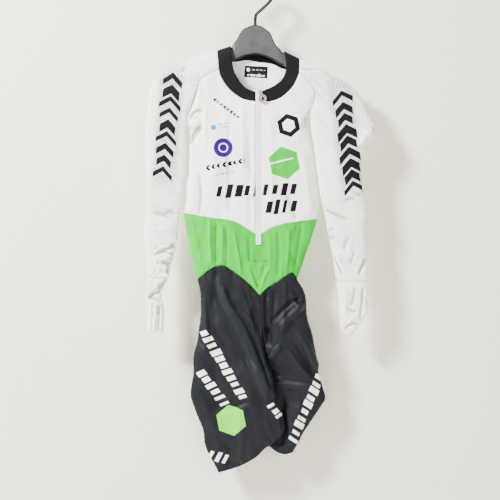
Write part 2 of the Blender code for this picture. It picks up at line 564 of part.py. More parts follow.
# Where a seam runs into a fork, the two panels on its edge end side by side
def close_fork(first, second, rows, opening):
    """Turn the normals of two facing borders to their mean as the space between them closes.

    Each border is a (piece, edge) pair. Both also draw in a little there, away from the fork's
    other branch.
    """
    lines = [line_of(normals[piece], edge, rows) for piece, edge in (first, second)]
    mean = lines[0] + lines[1]
    mean /= np.maximum(np.linalg.norm(mean, axis=-1, keepdims=True), 1e-9)
    keep = smooth(np.asarray(opening) / FORK_OPENING)[:, None]
    for (piece, edge), line in zip((first, second), lines):
        line[:] = line * keep + mean * (1 - keep)
        line /= np.linalg.norm(line, axis=-1, keepdims=True)
        line_of(grids[piece], edge, rows)[:] -= line * (1 - keep) * SEAM_GAP * 0.6


# Panels that meet share their normals at the seam
raglan = slice(0, CAP_ROWS + 1)
below = slice(CAP_ROWS, None)
crotch_rows = slice(0, CROTCH_ROWS + 1)
leg_rows = slice(CROTCH_ROWS, None)
crotch_opening = curve(CROTCH_FRONT, np.linspace(0, 1, CROTCH_ROWS + 1))[:, 2]
for side, back_edge, table in (("right", "start", SLEEVE_RIGHT), ("left", "end", SLEEVE_LEFT)):
    n = normals
    cap_opening = curve(table, cap, by_row=True)[:, SLEEVE_COLUMNS.index("open")]
    close_fork(("front_" + side, "start"), ("back", back_edge), raglan, cap_opening)
    close_fork(("sleeve_" + side, "start"), ("sleeve_" + side, "end"), raglan, cap_opening)
    close_fork(("shorts_front_" + side, "end"), ("shorts_back_" + side, "end"), crotch_rows, crotch_opening)
    share_normals(line_of(n["front_" + side], "start", raglan), line_of(n["sleeve_" + side], "start", raglan), 0.5)
    share_normals(line_of(n["back"], back_edge, raglan), line_of(n["sleeve_" + side], "end", raglan), 0.5)
    share_normals(line_of(n["front_" + side], "start", below), line_of(n["back"], back_edge, below))
    share_normals(line_of(n["sleeve_" + side], "start", below), line_of(n["sleeve_" + side], "end", below))
    share_normals(line_of(n["cuff_" + side], "start"), line_of(n["cuff_" + side], "end"))
    share_normals(line_of(n["cuff_" + side], "top"), line_of(n["sleeve_" + side], "bottom"))
    share_normals(line_of(n["waist_front"], back_edge), line_of(n["waist_back"], back_edge))
    share_normals(line_of(n["shorts_front_" + side], "start"), line_of(n["shorts_back_" + side], "start"))
    share_normals(line_of(n["shorts_front_" + side], "end", leg_rows),
                  line_of(n["shorts_back_" + side], "end", leg_rows))
    front_cols = slice(0, FRONT_COLS) if side == "right" else slice(None, FRONT_COLS - 2, -1)
    back_cols = slice(0, BACK_COLS) if side == "right" else slice(None, BACK_COLS - 2, -1)
    share_normals(n["waist_front"][0, front_cols], n["front_" + side][-1])
    share_normals(n["waist_front"][-1, front_cols], n["shorts_front_" + side][0])
    share_normals(n["waist_back"][-1, back_cols], n["shorts_back_" + side][0])
for half in ("front", "back"):
    share_normals(line_of(normals["shorts_" + half + "_right"], "end", crotch_rows),
                  line_of(normals["shorts_" + half + "_left"], "end", crotch_rows), 0.5)
share_normals(line_of(normals["back"], "bottom"), line_of(normals["waist_back"], "top"))

for name, grid in grids.items():
    for edge in ("top", "bottom", "start", "end"):
        draw_in(grid, normals[name], edge, SEAM_GAP / 2)
    add_wall(name, grid, normals[name], COLLAR_WALL if name == "collar" else WALL)

# Zip tape, from the collar's top edge to the tab in front of the waist panel
centre_rows = grids["front_right"][:, -1]
zip_z = np.r_[ZIP_TOP_Z, ZIP_TOP_Z - 11, centre_rows[:-1, 2], -566.0, -573.0, -579.0, -589.0, ZIP_TAB_Z]
zip_z = np.sort(np.unique(np.round(zip_z[(zip_z > -565) | (zip_z <= -566)], 3)))[::-1]
zip_y = np.where(zip_z > -272, -17.0 - (ZIP_TOP_Z - zip_z) / 22, -depth(zip_z, "front"))
zip_y = zip_y - TAB_RISE * smooth((-567 - zip_z) / 6)
zip_x = np.linspace(ZIP_RIGHT_X + SEAM_GAP / 2, ZIP_LEFT_X - SEAM_GAP / 2, 3)
zip_grid = np.stack([np.stack((zip_x, np.full(3, y), np.full(3, z)), axis=-1)
                     for y, z in zip(zip_y, zip_z)])
add_wall("zip", zip_grid, np.broadcast_to(np.array((0.0, -1.0, 0.0)), zip_grid.shape), ZIP_WALL)

# Neck label, laid on the inside of the back
back_mesh = bpy.data.objects["back"].data
back_tree = BVHTree.FromPolygons([v.co.copy() for v in back_mesh.vertices],
                                 [tuple(p.vertices) for p in back_mesh.polygons])
turn = np.array(((np.cos(LABEL_TURN), -np.sin(LABEL_TURN)), (np.sin(LABEL_TURN), np.cos(LABEL_TURN))))
label_grid = np.zeros((4, 6, 3))
for j, b in enumerate(np.linspace(0.5, -0.5, 4)):
    for i, a in enumerate(np.linspace(-0.5, 0.5, 6)):
        x, z = np.array(LABEL_CENTRE) + turn @ (np.array((a, b)) * LABEL_SIZE)
        hit = back_tree.ray_cast(Vector((x * MM, -0.2, z * MM)), Vector((0, 1, 0)))[0]
        label_grid[j, i] = (x, hit.y / MM - SEAM_GAP - LABEL_WALL, z)
label_grid[..., 1] = label_grid[..., 1].mean(axis=0) - np.ptp(label_grid[..., 1], axis=0)
add_wall("neck_label", label_grid, np.broadcast_to(np.array((0.0, -1.0, 0.0)), label_grid.shape), LABEL_WALL)


# Hanger: sections from the right tip to the left tip
def arm_stations(side, sign):
    """Top, bottom and half thickness of an arm, just under the ridge of its sleeve."""
    ridge = grids["sleeve_" + side][:CAP_ROWS + 1, HALF_RING - 1]
    tip = np.array([sign * ARM_TIP_X, 0, np.interp(ARM_TIP_X, np.abs(ridge[:, 0]), ridge[:, 2])])
    inside = ridge[np.abs(ridge[:, 0]) < ARM_TIP_X - 6]
    line = np.vstack((inside, tip))
    slope = np.abs(np.diff(line[:, 2]) / np.diff(line[:, 0]))
    steep = np.maximum(np.r_[slope, slope[-1]], np.r_[slope[0], slope])
    rows = []
    root = abs(inside[0, 0])
    for (x, _, z), pitch in zip(line, steep):
        share = (abs(x) - root) / (ARM_TIP_X - root)
        height = ARM_HEIGHT_ROOT + (ARM_HEIGHT_TIP - ARM_HEIGHT_ROOT) * share
        upper = z - ARM_DROP * np.hypot(1, pitch)
        rows.append((x, upper, upper - height, ARM_HALF + (ARM_HALF_TIP - ARM_HALF) * share))
    x, top_z, low_z, half = rows[-1]
    rows.append((x + sign * 3.0, top_z - 4.5, low_z + 1.5, half * 0.6))
    return rows


stations = arm_stations("right", -1)[::-1] + list(HUB) + arm_stations("left", 1)
angle = np.linspace(0, 2 * np.pi, HANGER_SIDES, endpoint=False)
rings = []
for x, top_z, low_z, half in stations:
    middle, tall = (top_z + low_z) / 2, (top_z - low_z) / 2
    round_ends = tall - half + half * np.abs(np.sin(angle)) if tall > half else tall * np.abs(np.sin(angle))
    rings.append(np.column_stack((np.full(HANGER_SIDES, x), half * np.cos(angle),
                                  middle + np.sign(np.round(np.sin(angle), 9)) * round_ends)))
count = len(rings)
faces = [tuple(range(HANGER_SIDES))[::-1], tuple(range((count - 1) * HANGER_SIDES, count * HANGER_SIDES))]
for j in range(count - 1):
    for i in range(HANGER_SIDES):
        k = (i + 1) % HANGER_SIDES
        faces.append((j * HANGER_SIDES + i, j * HANGER_SIDES + k, (j + 1) * HANGER_SIDES + k,
                      (j + 1) * HANGER_SIDES + i))
add_mesh("hanger_body", np.vstack(rings), faces)

# Hook: stem, slanted neck and a round crook whose inside touches the origin
bend = HOOK_INNER_RADIUS + WIRE_RADIUS
crook = np.radians(np.arange(-14, 182, 15))
neck_foot, neck_head = np.array((STEM_X, STEM_TOP_Z)), bend * np.array((np.cos(crook[0]), np.sin(crook[0])))
neck_head = neck_head + np.array((0.0, -HOOK_INNER_RADIUS))
path = [(STEM_X, STEM_FOOT_Z), (STEM_X, -82.0), (STEM_X, STEM_TOP_Z - 4)]
for t in np.linspace(0.12, 0.88, 5):
    path.append(tuple(neck_foot + (neck_head - neck_foot) * t + np.array((0.6, -0.6)) * np.sin(np.pi * t)))
path += [(bend * np.cos(a), bend * np.sin(a) - HOOK_INNER_RADIUS) for a in crook]
wire = bpy.data.curves.new("hanger_hook", "CURVE")
wire.dimensions = "3D"
wire.bevel_depth = WIRE_RADIUS * MM
wire.bevel_resolution = 2
wire.use_fill_caps = True
wire.resolution_u = 1
wire.render_resolution_u = 0
spline = wire.splines.new("POLY")
spline.points.add(len(path) - 1)
for point, (x, z) in zip(spline.points, path):
    point.co = (x * MM, 0.0, z * MM, 1.0)
hook = bpy.data.objects.new("hanger_hook", wire)
suit.objects.link(hook)
finish_object("hanger_hook", hook)

# Slider and pull
pin_frame = Matrix.Translation(Vector(PIN) * MM) @ Matrix.Rotation(PIN_TILT, 4, "Y")


def add_block(name, size, centre, bevel=0.0, collection=suit):
    """Box of the given size, its corners rounded, in the slider's frame."""
    work = bmesh.new()
    bmesh.ops.create_cube(work, size=1.0)
    bmesh.ops.scale(work, vec=Vector(size) * MM, verts=work.verts)
    if bevel:
        bmesh.ops.bevel(work, geom=work.edges[:], offset=bevel * MM, segments=2, affect="EDGES")
    bmesh.ops.translate(work, vec=Vector(centre) * MM, verts=work.verts)
    return add_tool(name, work, collection)


def add_drum(name, radius, length, centre, axis, sides, collection=suit):
    """Cylinder along X or Y in the slider's frame."""
    work = bmesh.new()
    bmesh.ops.create_cone(work, cap_ends=True, segments=sides, radius1=radius * MM, radius2=radius * MM,
                          depth=length * MM)
    spin = Matrix.Rotation(np.pi / 2, 4, "Y" if axis == "X" else "X")
    bmesh.ops.transform(work, matrix=Matrix.Translation(Vector(centre) * MM) @ spin, verts=work.verts)
    return add_tool(name, work, collection)


def add_tool(name, work, collection):
    mesh = bpy.data.meshes.new(name)
    work.to_mesh(mesh)
    work.free()
    obj = bpy.data.objects.new(name, mesh)
    obj.matrix_world = pin_frame
    collection.objects.link(obj)
    if collection is cutters:
        obj.hide_render = True
        obj.display_type = "WIRE"
    return obj


def combine(obj, tool, operation):
    step = obj.modifiers.new(tool.name, "BOOLEAN")
    step.operation = operation
    step.object = tool


slider_y = SLIDER_FACE + SLIDER_SIZE[1] / 2
slider = add_block("zip_slider", SLIDER_SIZE, (0, slider_y, 1.0), bevel=0.7)
for sign in (-1, 1):
    lug = add_block("lug_" + ("right" if sign < 0 else "left"), LUG_SIZE, (sign * LUG_X, 0.8, 0),
                    collection=cutters)
    combine(slider, lug, "UNION")
pin = add_drum("pin", PIN_RADIUS, 2 * LUG_X, (0, 0, 0), "X", 12, collection=cutters)
combine(slider, pin, "UNION")
finish_object("zip_slider", slider)

pull = add_drum("zip_pull", PULL_RADIUS, PULL_THICK, (0, 0, -PULL_DROP), "Y", 28)
stalk = add_block("stalk", (STALK_WIDTH, PULL_THICK, 6.0), (0, 0, -3.2), collection=cutters)
combine(pull, stalk, "UNION")
barrel = add_drum("barrel", BARREL_RADIUS, BARREL_LENGTH, (0, 0, 0), "X", 16, collection=cutters)
combine(pull, barrel, "UNION")
ring_hole = add_drum("ring_hole", PULL_HOLE, 6.0, (0, 0, -PULL_DROP), "Y", 20, collection=cutters)
combine(pull, ring_hole, "DIFFERENCE")
eye = add_drum("eye", PIN_RADIUS + PIN_CLEARANCE, 9.0, (0, 0, 0), "X", 12, collection=cutters)
combine(pull, eye, "DIFFERENCE")
finish_object("zip_pull", pull)
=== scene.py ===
# %% [markdown]
# # A cycling skinsuit on a hanger
#
# A skinsuit is one stretch garment from collar to mid thigh. On a hanger it loses the body that
# fills it: the sleeves fall flat, the sides cave in and the legs swing over each other. The packed
# model already holds that drape as closed cloth walls. Here each panel is worked out again on a
# much finer grid from the same sizes, then creased, sewn and coloured.

import bmesh
import bpy
import numpy as np
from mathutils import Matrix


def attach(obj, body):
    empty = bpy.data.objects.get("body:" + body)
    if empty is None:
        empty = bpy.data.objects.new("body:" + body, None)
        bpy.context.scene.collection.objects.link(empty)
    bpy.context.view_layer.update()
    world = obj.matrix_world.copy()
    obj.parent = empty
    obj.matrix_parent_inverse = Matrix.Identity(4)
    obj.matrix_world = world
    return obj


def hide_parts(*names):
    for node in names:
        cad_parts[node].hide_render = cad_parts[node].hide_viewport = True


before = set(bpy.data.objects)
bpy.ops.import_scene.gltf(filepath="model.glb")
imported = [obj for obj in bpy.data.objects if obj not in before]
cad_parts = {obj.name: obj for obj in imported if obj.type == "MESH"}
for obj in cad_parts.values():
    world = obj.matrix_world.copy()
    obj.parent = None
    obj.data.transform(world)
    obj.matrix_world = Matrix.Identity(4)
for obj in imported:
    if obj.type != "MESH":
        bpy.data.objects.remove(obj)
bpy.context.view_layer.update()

MM = 0.001

# %% [markdown]
# ## Camera, backdrop and light
#
# The suit was photographed straight on, with the middle of the picture at the height of its waist.
# The lens follows from the width that the picture covers at the suit. A pale wall stands just
# behind the suit and takes its soft shadow. The wall is one-sided: it can't be seen from behind
# and it blocks no light, so the back of the suit can be looked at too.

# %% Camera and backdrop
CAMERA_DISTANCE = 2.1
PICTURE_WIDTH = 1.15             # metres that the picture covers at the suit
PICTURE_CENTRE = (-0.015, -0.611)
WALL_DISTANCE = 0.055
FLOOR_Z = -1.55

camera_data = bpy.data.cameras.new("camera")
camera_data.sensor_width = 36.0
camera_data.lens = camera_data.sensor_width * CAMERA_DISTANCE / PICTURE_WIDTH
camera = bpy.data.objects.new("camera", camera_data)
camera.location = (PICTURE_CENTRE[0], -CAMERA_DISTANCE, PICTURE_CENTRE[1])
camera.rotation_euler = (np.pi / 2, 0.0, 0.0)
bpy.context.scene.collection.objects.link(camera)
bpy.context.scene.camera = camera


def new_material(name, values):
    """Material with a Principled shader, its node tree and the shader, with values on its inputs."""
    material = bpy.data.materials.new(name)
    material.use_nodes = True
    shader = material.node_tree.nodes["Principled BSDF"]
    for label, value in values.items():
        shader.inputs[label].default_value = value
    return material, material.node_tree, shader


def stage_plane(name, corners, colour, one_sided):
    """A plain matt rectangle from four corners, marked as stage."""
    mesh = bpy.data.meshes.new(name)
    mesh.from_pydata(corners, [], [(0, 1, 2, 3)])
    obj = bpy.data.objects.new(name, mesh)
    bpy.context.scene.collection.objects.link(obj)
    material, tree, shader = new_material(name, {"Base Color": (*colour, 1.0), "Roughness": 0.9,
                                                 "Specular IOR Level": 0.1})
    nodes, links = tree.nodes, tree.links
    if one_sided:
        geometry, path = nodes.new("ShaderNodeNewGeometry"), nodes.new("ShaderNodeLightPath")
        either = nodes.new("ShaderNodeMath")
        either.operation = "MAXIMUM"
        clear = nodes.new("ShaderNodeBsdfTransparent")
        mix = nodes.new("ShaderNodeMixShader")
        links.new(geometry.outputs["Backfacing"], either.inputs[0])
        links.new(path.outputs["Is Shadow Ray"], either.inputs[1])
        links.new(either.outputs[0], mix.inputs[0])
        links.new(shader.outputs[0], mix.inputs[1])
        links.new(clear.outputs[0], mix.inputs[2])
        links.new(mix.outputs[0], nodes["Material Output"].inputs["Surface"])
    mesh.materials.append(material)


REACH = 4.0
stage_plane("wall", [(-REACH, WALL_DISTANCE, FLOOR_Z), (REACH, WALL_DISTANCE, FLOOR_Z),
                     (REACH, WALL_DISTANCE, REACH), (-REACH, WALL_DISTANCE, REACH)],
            (0.80, 0.765, 0.655), True)
stage_plane("floor", [(-REACH, -REACH, FLOOR_Z), (REACH, -REACH, FLOOR_Z),
                      (REACH, REACH, FLOOR_Z), (-REACH, REACH, FLOOR_Z)],
            (0.74, 0.73, 0.70), False)

# %% Light
LIGHT_AIM = np.array((0.0, 0.0, -0.6))
WORLD_COLOUR, WORLD_STRENGTH = (0.97, 0.98, 1.0, 1.0), 0.5
LIGHTS = (                       # name, place, size, watts, colour
    ("window", (-2.2, -1.7, 1.3), 0.7, 480.0, (1.0, 0.985, 0.96)),
    ("room", (1.6, -2.8, -0.1), 2.2, 70.0, (1.0, 0.97, 0.93)),
    ("rear", (0.6, 2.6, 0.4), 2.0, 150.0, (1.0, 0.99, 0.97)),
)
for name, place, size, watts, colour in LIGHTS:
    lamp = bpy.data.lights.new(name, "AREA")
    lamp.shape = "DISK"
    lamp.size = size
    lamp.energy = watts
    lamp.color = colour
    obj = bpy.data.objects.new(name, lamp)
    away = np.array(place) - LIGHT_AIM
    obj.location = place
    obj.rotation_euler = (np.arctan2(np.hypot(away[0], away[1]), away[2]), 0.0,
                          np.arctan2(away[0], -away[1]))
    bpy.context.scene.collection.objects.link(obj)
world = bpy.data.worlds.new("world")
world.use_nodes = True
background = world.node_tree.nodes["Background"]
background.inputs["Color"].default_value = WORLD_COLOUR
background.inputs["Strength"].default_value = WORLD_STRENGTH
bpy.context.scene.world = world

# %% [markdown]
# ## The cut of the suit, as it hangs
#
# All these sizes are millimetres, with X to the wearer's left, the front towards -Y and the
# origin inside the hook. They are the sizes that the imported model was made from, so the fine
# surfaces below lie on its solids. A sleeve is a row of flattened tubes; every other panel spans
# the seams around it.

# %% Sizes in millimetres
WALL, COLLAR_WALL, TAPE_WALL = 1.2, 1.6, 1.0
SEAM_GAP = 0.3
BACK_SHARE = 0.85                # depth of the back half of a sleeve, as a share of the front half
ROUND_NECK, ROUND_SHOULDER, ROUND_BODY = 1.3, 3.0, 2.5   # powers of the superellipses
COLLAR_ROW, UNDERARM_ROW, CUFF_ROW, HEM_ROW = 1, 7, 16, 21
# Columns front x, front z, back x, back z, outer x, outer z, half depth, open, middle y
SLEEVE_RIGHT = (
    (-56, -178, -56, -147, -59, -142, 14.5, 1.0, 0),
    (-86, -197, -82, -163, -90, -152, 15.0, 1.0, 0),
    (-112, -210, -107, -186, -123, -163, 14.5, 1.0, 0),
    (-129, -222, -123, -209, -160, -175, 14.0, 0.95, 0),
    (-135, -241, -132, -236, -194, -192, 14.0, 0.78, 0),
    (-142, -264, -141, -262, -227, -212, 14.0, 0.55, 0),
    (-151, -288, -151, -287, -244, -238, 14.0, 0.30, -0.5),
    (-159, -308, -159, -308, -249, -278, 13.5, 0.0, -2),
    (-161, -338, -161, -338, -254, -331, 13.0, 0.0, -4),
    (-159, -381, -159, -381, -254, -381, 12.0, 0.0, -7),
    (-160, -427, -160, -427, -251, -427, 12.0, 0.0, -8),
    (-168, -485, -168, -485, -251, -485, 12.0, 0.0, -8),
    (-175, -526, -175, -526, -254, -531, 11.5, 0.0, -8),
    (-179, -565, -179, -565, -257, -570, 11.0, 0.0, -8),
    (-186, -612, -186, -612, -253, -610, 11.0, 0.0, -8),
    (-195, -646, -195, -646, -250, -641, 10.5, 0.0, -8),
    (-203, -676, -203, -676, -250, -674, 10.0, 0.0, -8),
    (-216, -703, -216, -703, -252, -702, 9.5, 0.0, -8),
    (-217, -720, -217, -720, -253, -720, 9.5, 0.0, -8),
    (-213, -738, -213, -738, -247, -738, 9.5, 0.0, -8),
    (-212, -765, -212, -765, -246, -765, 9.5, 0.0, -8),
    (-214, -799, -214, -799, -254, -799, 10.0, 0.0, -8),
)
SLEEVE_LEFT = (
    (68, -188, 62, -161, 63, -154, 14.5, 1.0, 0),
    (97, -207, 93, -182, 99, -171, 15.0, 1.0, 0),
    (113, -221, 110, -204, 130, -185, 14.5, 1.0, 0),
    (127, -236, 124, -227, 162, -201, 14.0, 0.95, 0),
    (134, -252, 133, -248, 195, -219, 14.0, 0.78, 0),
    (132, -268, 132, -267, 221, -238, 14.0, 0.55, 0),
    (127, -284, 127, -283, 240, -264, 14.0, 0.30, -0.5),
    (119, -297, 119, -297, 256, -300, 13.5, 0.0, -2),
    (124, -331, 124, -331, 273, -333, 13.0, 0.0, -4),
    (129, -366, 129, -366, 258, -365, 12.5, 0.0, -7),
    (134, -404, 134, -404, 241, -404, 12.0, 0.0, -8),
    (139, -439, 139, -439, 239, -434, 12.0, 0.0, -8),
    (145, -485, 145, -485, 245, -485, 12.0, 0.0, -8),
    (154, -522, 154, -522, 251, -522, 11.5, 0.0, -8),
    (162, -568, 162, -568, 248, -566, 11.0, 0.0, -8),
    (173, -622, 173, -622, 251, -612, 11.0, 0.0, -8),
    (182, -684, 182, -684, 256, -684, 10.0, 0.0, -8),
    (187, -716, 187, -716, 254, -716, 9.5, 0.0, -8),
    (189, -744, 189, -744, 256, -740, 9.5, 0.0, -8),
    (190, -764, 190, -764, 254, -756, 9.5, 0.0, -8),
    (191, -782, 191, -782, 238, -778, 9.5, 0.0, -8),
    (193, -798, 193, -798, 215, -812, 8.5, 0.0, -8),
)
# Seam lines seen from the front, columns x, z
NECK = {"right": ((-86, -197), (-84, -208), (-77, -223), (-66, -239), (-49, -255), (-31, -266), (-2, -272)),
        "left": ((97, -207), (92, -221), (82, -239), (72, -250), (54, -264), (36, -271), (10.5, -273))}
NECK_BACK = {"right": ((-82, -163), (-56, -176), (-20, -173), (4, -177)),
             "left": ((93, -182), (68, -193), (36, -181), (4, -177))}
COLLAR_TOP = {"right": ((-56, -178), (-51, -202), (-44, -216), (-26, -239), (-2, -250)),
              "left": ((68, -188), (66, -202), (58, -220), (42, -234), (12, -248))}
COLLAR_BACK = {"right": ((-56, -147), (-30, -142), (4, -143)),
               "left": ((62, -161), (35, -148), (4, -143))}
WAIST = {"right": ((-169, -526), (-107, -537), (-49, -547), (-26, -559), (-15, -567), (-2, -575)),
         "left": ((140, -540), (95, -546), (54, -554), (31, -562), (10.5, -575))}
WAIST_POINT = (4, -580.5)
WAIST_BACK = {"right": ((-169, -526), (-107, -536), (4, -545)),
              "left": ((140, -540), (80, -544), (4, -545))}
HIP = {"right": ((-136, -678), (-109, -657), (-91, -648), (-74, -647), (-52, -661), (-21, -684), (7, -714)),
       "left": ((94, -678), (82, -663), (70, -668), (49, -682), (22, -699), (7, -714))}
HIP_BACK = {"right": ((-136, -678), (-70, -684), (7, -690)),
            "left": ((94, -678), (50, -684), (7, -690))}
HEM = {"right": ((-88, -1123), (-42, -1107), (-7, -1086), (25, -1061)),
       "left": ((85, -1075), (68, -1079), (50, -1076), (26, -1062), (5, -1050))}
# Side seams, columns x, z, y
SIDE = {"right": ((-159, -308, -2), (-155, -324, -1), (-154, -350, 0), (-155, -381, 0), (-158, -427, 0),
                  (-164, -473, 0), (-169, -526, 0)),
        "left": ((119, -297, -2), (115.5, -312, -1), (118, -334, 0), (125, -366, 0), (131, -404, 0),
                 (136, -439, 0), (141, -473, 0), (144, -503, 0), (140, -540, 0))}
SIDE_WAIST = {"right": ((-169, -526, 0), (-162, -561, 0), (-155, -592, 0), (-146, -634, 0), (-136, -678, 0)),
              "left": ((140, -540, 0), (130, -572, 0), (120, -603, 0), (107, -641, 0), (94, -678, 0))}
# Centre seam of the seat, inner and outer seam of the legs, columns x, z, open
CROTCH = {"front": ((7, -714, 1), (10, -745, 0.97), (13, -782, 0.85), (16, -820, 0.55), (20, -848, 0)),
          "back": ((7, -690, 1), (10, -730, 0.97), (13, -775, 0.85), (16, -818, 0.55), (20, -848, 0))}
INSEAM = {"right": ((20, -848, 0), (20, -858, 0), (24, -873, 0), (33, -896, 0), (43, -938, 0),
                    (52, -968, 0), (63, -1000, 0), (65, -1020, 0), (55, -1036, 0), (39, -1051, 0),
                    (25, -1061, 0)),
          "left": ((20, -848, 0), (23, -857, 0), (26, -872, 0), (28, -898, 0), (25, -945, 0),
                   (15, -1000, 0), (5, -1050, 0))}
OUTSEAM = {"right": ((-136, -678), (-130, -710), (-128, -752), (-134, -798), (-139, -830), (-146, -857),
                     (-146, -890), (-152, -946), (-141, -982), (-123, -1028), (-120, -1055),
                     (-109, -1084), (-97, -1105), (-88, -1123)),
           "left": ((94, -678), (110, -710), (118, -768), (130, -809), (134, -837), (141, -886),
                    (154, -929), (159, -950), (145, -975), (120, -1013), (99, -1048), (85, -1075))}
LEG_SHIFT = {"right": -14.0, "left": 13.0}   # the right leg lies in front of the left one
LEG_PART_Z, LEG_PART_REACH = -850, 50        # where the legs part, and the height over which they do
OUTSEAM_EASE = 1.05
COLLAR_FRONT_Y, COLLAR_BACK_Y = -17.0, 12.0
NECK_FOOT_Z = -272                           # above it the zip leans back to the collar
ZIP_X = {"right": -2.0, "left": 10.5}
# Half depth of the body, columns z, front, back
BODY_DEPTH = np.array(((-1130, 11, 9), (-1000, 14, 12), (-900, 17, 15), (-800, 21, 18), (-700, 23, 19),
                       (-620, 23, 18), (-550, 23, 18), (-450, 25, 18), (-350, 23, 17), (-272, 18, 14),
                       (-190, 15, 13), (-140, 15, 13)), float)

# %% [markdown]
# ## Surfaces
#
# Every panel is a grid of points: one parameter runs down the panel and the other across it. A
# seam line is a smooth curve through its few measured points. Flattened tubes have a
# superellipse as their section, because cloth that hangs empty lies flat in the middle and turns
# tightly at its edges.

# %% Curves and sections
HALF_RING, CAP_ROWS, ARM_ROWS, CUFF_ROWS = 50, 54, 150, 56
SIDE_ROWS, WAIST_ROWS, CROTCH_ROWS, LEG_ROWS = 92, 66, 46, 130
FRONT_COLS, BACK_COLS, COLLAR_ROWS = 80, 56, 14


def smooth(t):
    """Smooth step: 3t^2 - 2t^3 between 0 and 1."""
    t = np.clip(t, 0.0, 1.0)
    return t * t * (3 - 2 * t)


def curve(rows, at, by_row=False):
    """Cubic Hermite curve through the rows; at is a share of its length, or a row number."""
    points = np.asarray(rows, float)
    if by_row:
        knots = np.arange(len(points), dtype=float)
    else:
        knots = np.r_[0, np.cumsum(np.linalg.norm(np.diff(points[:, :2], axis=0), axis=1))]
        knots = knots / knots[-1]
    at = np.atleast_1d(np.asarray(at, float))
    slope = np.gradient(points, knots, axis=0)
    i = np.clip(np.searchsorted(knots, at, side="right") - 1, 0, len(points) - 2)
    step = (knots[i + 1] - knots[i])[:, None]
    t = (at[:, None] - knots[i][:, None]) / step
    return ((2 * t**3 - 3 * t**2 + 1) * points[i] + (t**3 - 2 * t**2 + t) * step * slope[i]
            + (3 * t**2 - 2 * t**3) * points[i + 1] + (t**3 - t**2) * step * slope[i + 1])


def depth(z, side):
    """Half depth of the body at height z, between the rows of the table."""
    return np.interp(z, BODY_DEPTH[:, 0], BODY_DEPTH[:, 1 if side == "front" else 2])


def open_shares(count):
    """Shares t/2 + (1 - cos(pi t/2)^0.8)/2: close together at the tight edge, wide in the middle."""
    t = np.linspace(0, 1, count)
    return 0.5 * t + 0.5 * (1 - np.cos(np.pi * t / 2) ** 0.8)


def shares(count, opening):
    """Shares across a half tube: close together at both edges, or at one where it is open."""
    t = np.linspace(0, 1, count)
    near = 0.5 * np.interp(np.minimum(t, 1 - t) * 2, t, open_shares(count))
    closed = np.where(t <= 0.5, near, 1 - near)
    return (1 - opening) * closed + opening * open_shares(count)


def profile(f, opening, power):
    """Depth of a half section: superellipse (1 - (1-f)^n)^(1/n) if open, (1 - |2f-1|^n)^(1/n) if not."""
    quarter = (1 - (1 - f) ** power) ** (1 / power)
    half = np.maximum(1 - np.abs(2 * f - 1) ** power, 0) ** (1 / power)
    return opening * quarter + (1 - opening) * half


def sleeve_grid(table, at):
    """Rows of a sleeve from the front seam over the outer edge to the back seam."""
    front_x, front_z, back_x, back_z, outer_x, outer_z, half_depth, opening, mid_y = (
        column[:, None] for column in curve(table, at, by_row=True).T)
    opening = np.clip(opening, 0, 1)
    f = np.array([shares(HALF_RING, float(e)) for e in opening[:, 0]])
    reach = half_depth * profile(f, opening, ROUND_SHOULDER)
    halves = []
    for edge_x, edge_z, sign in ((front_x, front_z, -1.0), (back_x, back_z, BACK_SHARE)):
        halves.append(np.stack((outer_x + (edge_x - outer_x) * f, mid_y + sign * reach,
                                outer_z + (edge_z - outer_z) * f), axis=-1))
    return np.concatenate((halves[0][:, ::-1], halves[1][:, 1:]), axis=1)


def patch(top, bottom, start, end, f):
    """Coons patch: the four border lines blended, less the blend of their corners."""
    length = np.r_[0, np.cumsum(np.linalg.norm(np.diff(start, axis=0), axis=1)
                                + np.linalg.norm(np.diff(end, axis=0), axis=1))]
    v = (length / length[-1])[:, None, None]
    s = f[:, :, None]
    upper = curve(top, f.ravel()).reshape(*f.shape, 2)
    lower = curve(bottom, f.ravel()).reshape(*f.shape, 2)
    corners = ((1 - s) * (1 - v) * upper[0, 0] + s * (1 - v) * upper[0, -1]
               + (1 - s) * v * lower[0, 0] + s * v * lower[0, -1])
    return ((1 - v) * upper + v * lower + (1 - s) * start[:, None] + s * end[:, None]) - corners


def body_half(side, top, bottom, border, centre, count, power):
    """Half a body panel: a patch seen from the front, swelling from its side seam to full depth."""
    f = np.tile(open_shares(count), (len(border), 1))
    xz = patch(top, bottom, border[:, (0, 2)], centre, f)
    sign = -1 if side == "front" else 1
    swell = (1 - (1 - f) ** power[:, None]) ** (1 / power[:, None])
    edge_y = border[:, 1][:, None]
    y = edge_y + (sign * depth(xz[..., 1], side) - edge_y) * swell
    return np.stack((xz[..., 0], y, xz[..., 1]), axis=-1)


def even_line(first, last, start_rows):
    """Straight line whose points keep pace with those of a border."""
    length = np.r_[0, np.cumsum(np.linalg.norm(np.diff(start_rows, axis=0), axis=1))]
    t = (length / length[-1])[:, None]
    return np.asarray(first, float) + (np.asarray(last, float) - np.asarray(first, float)) * t


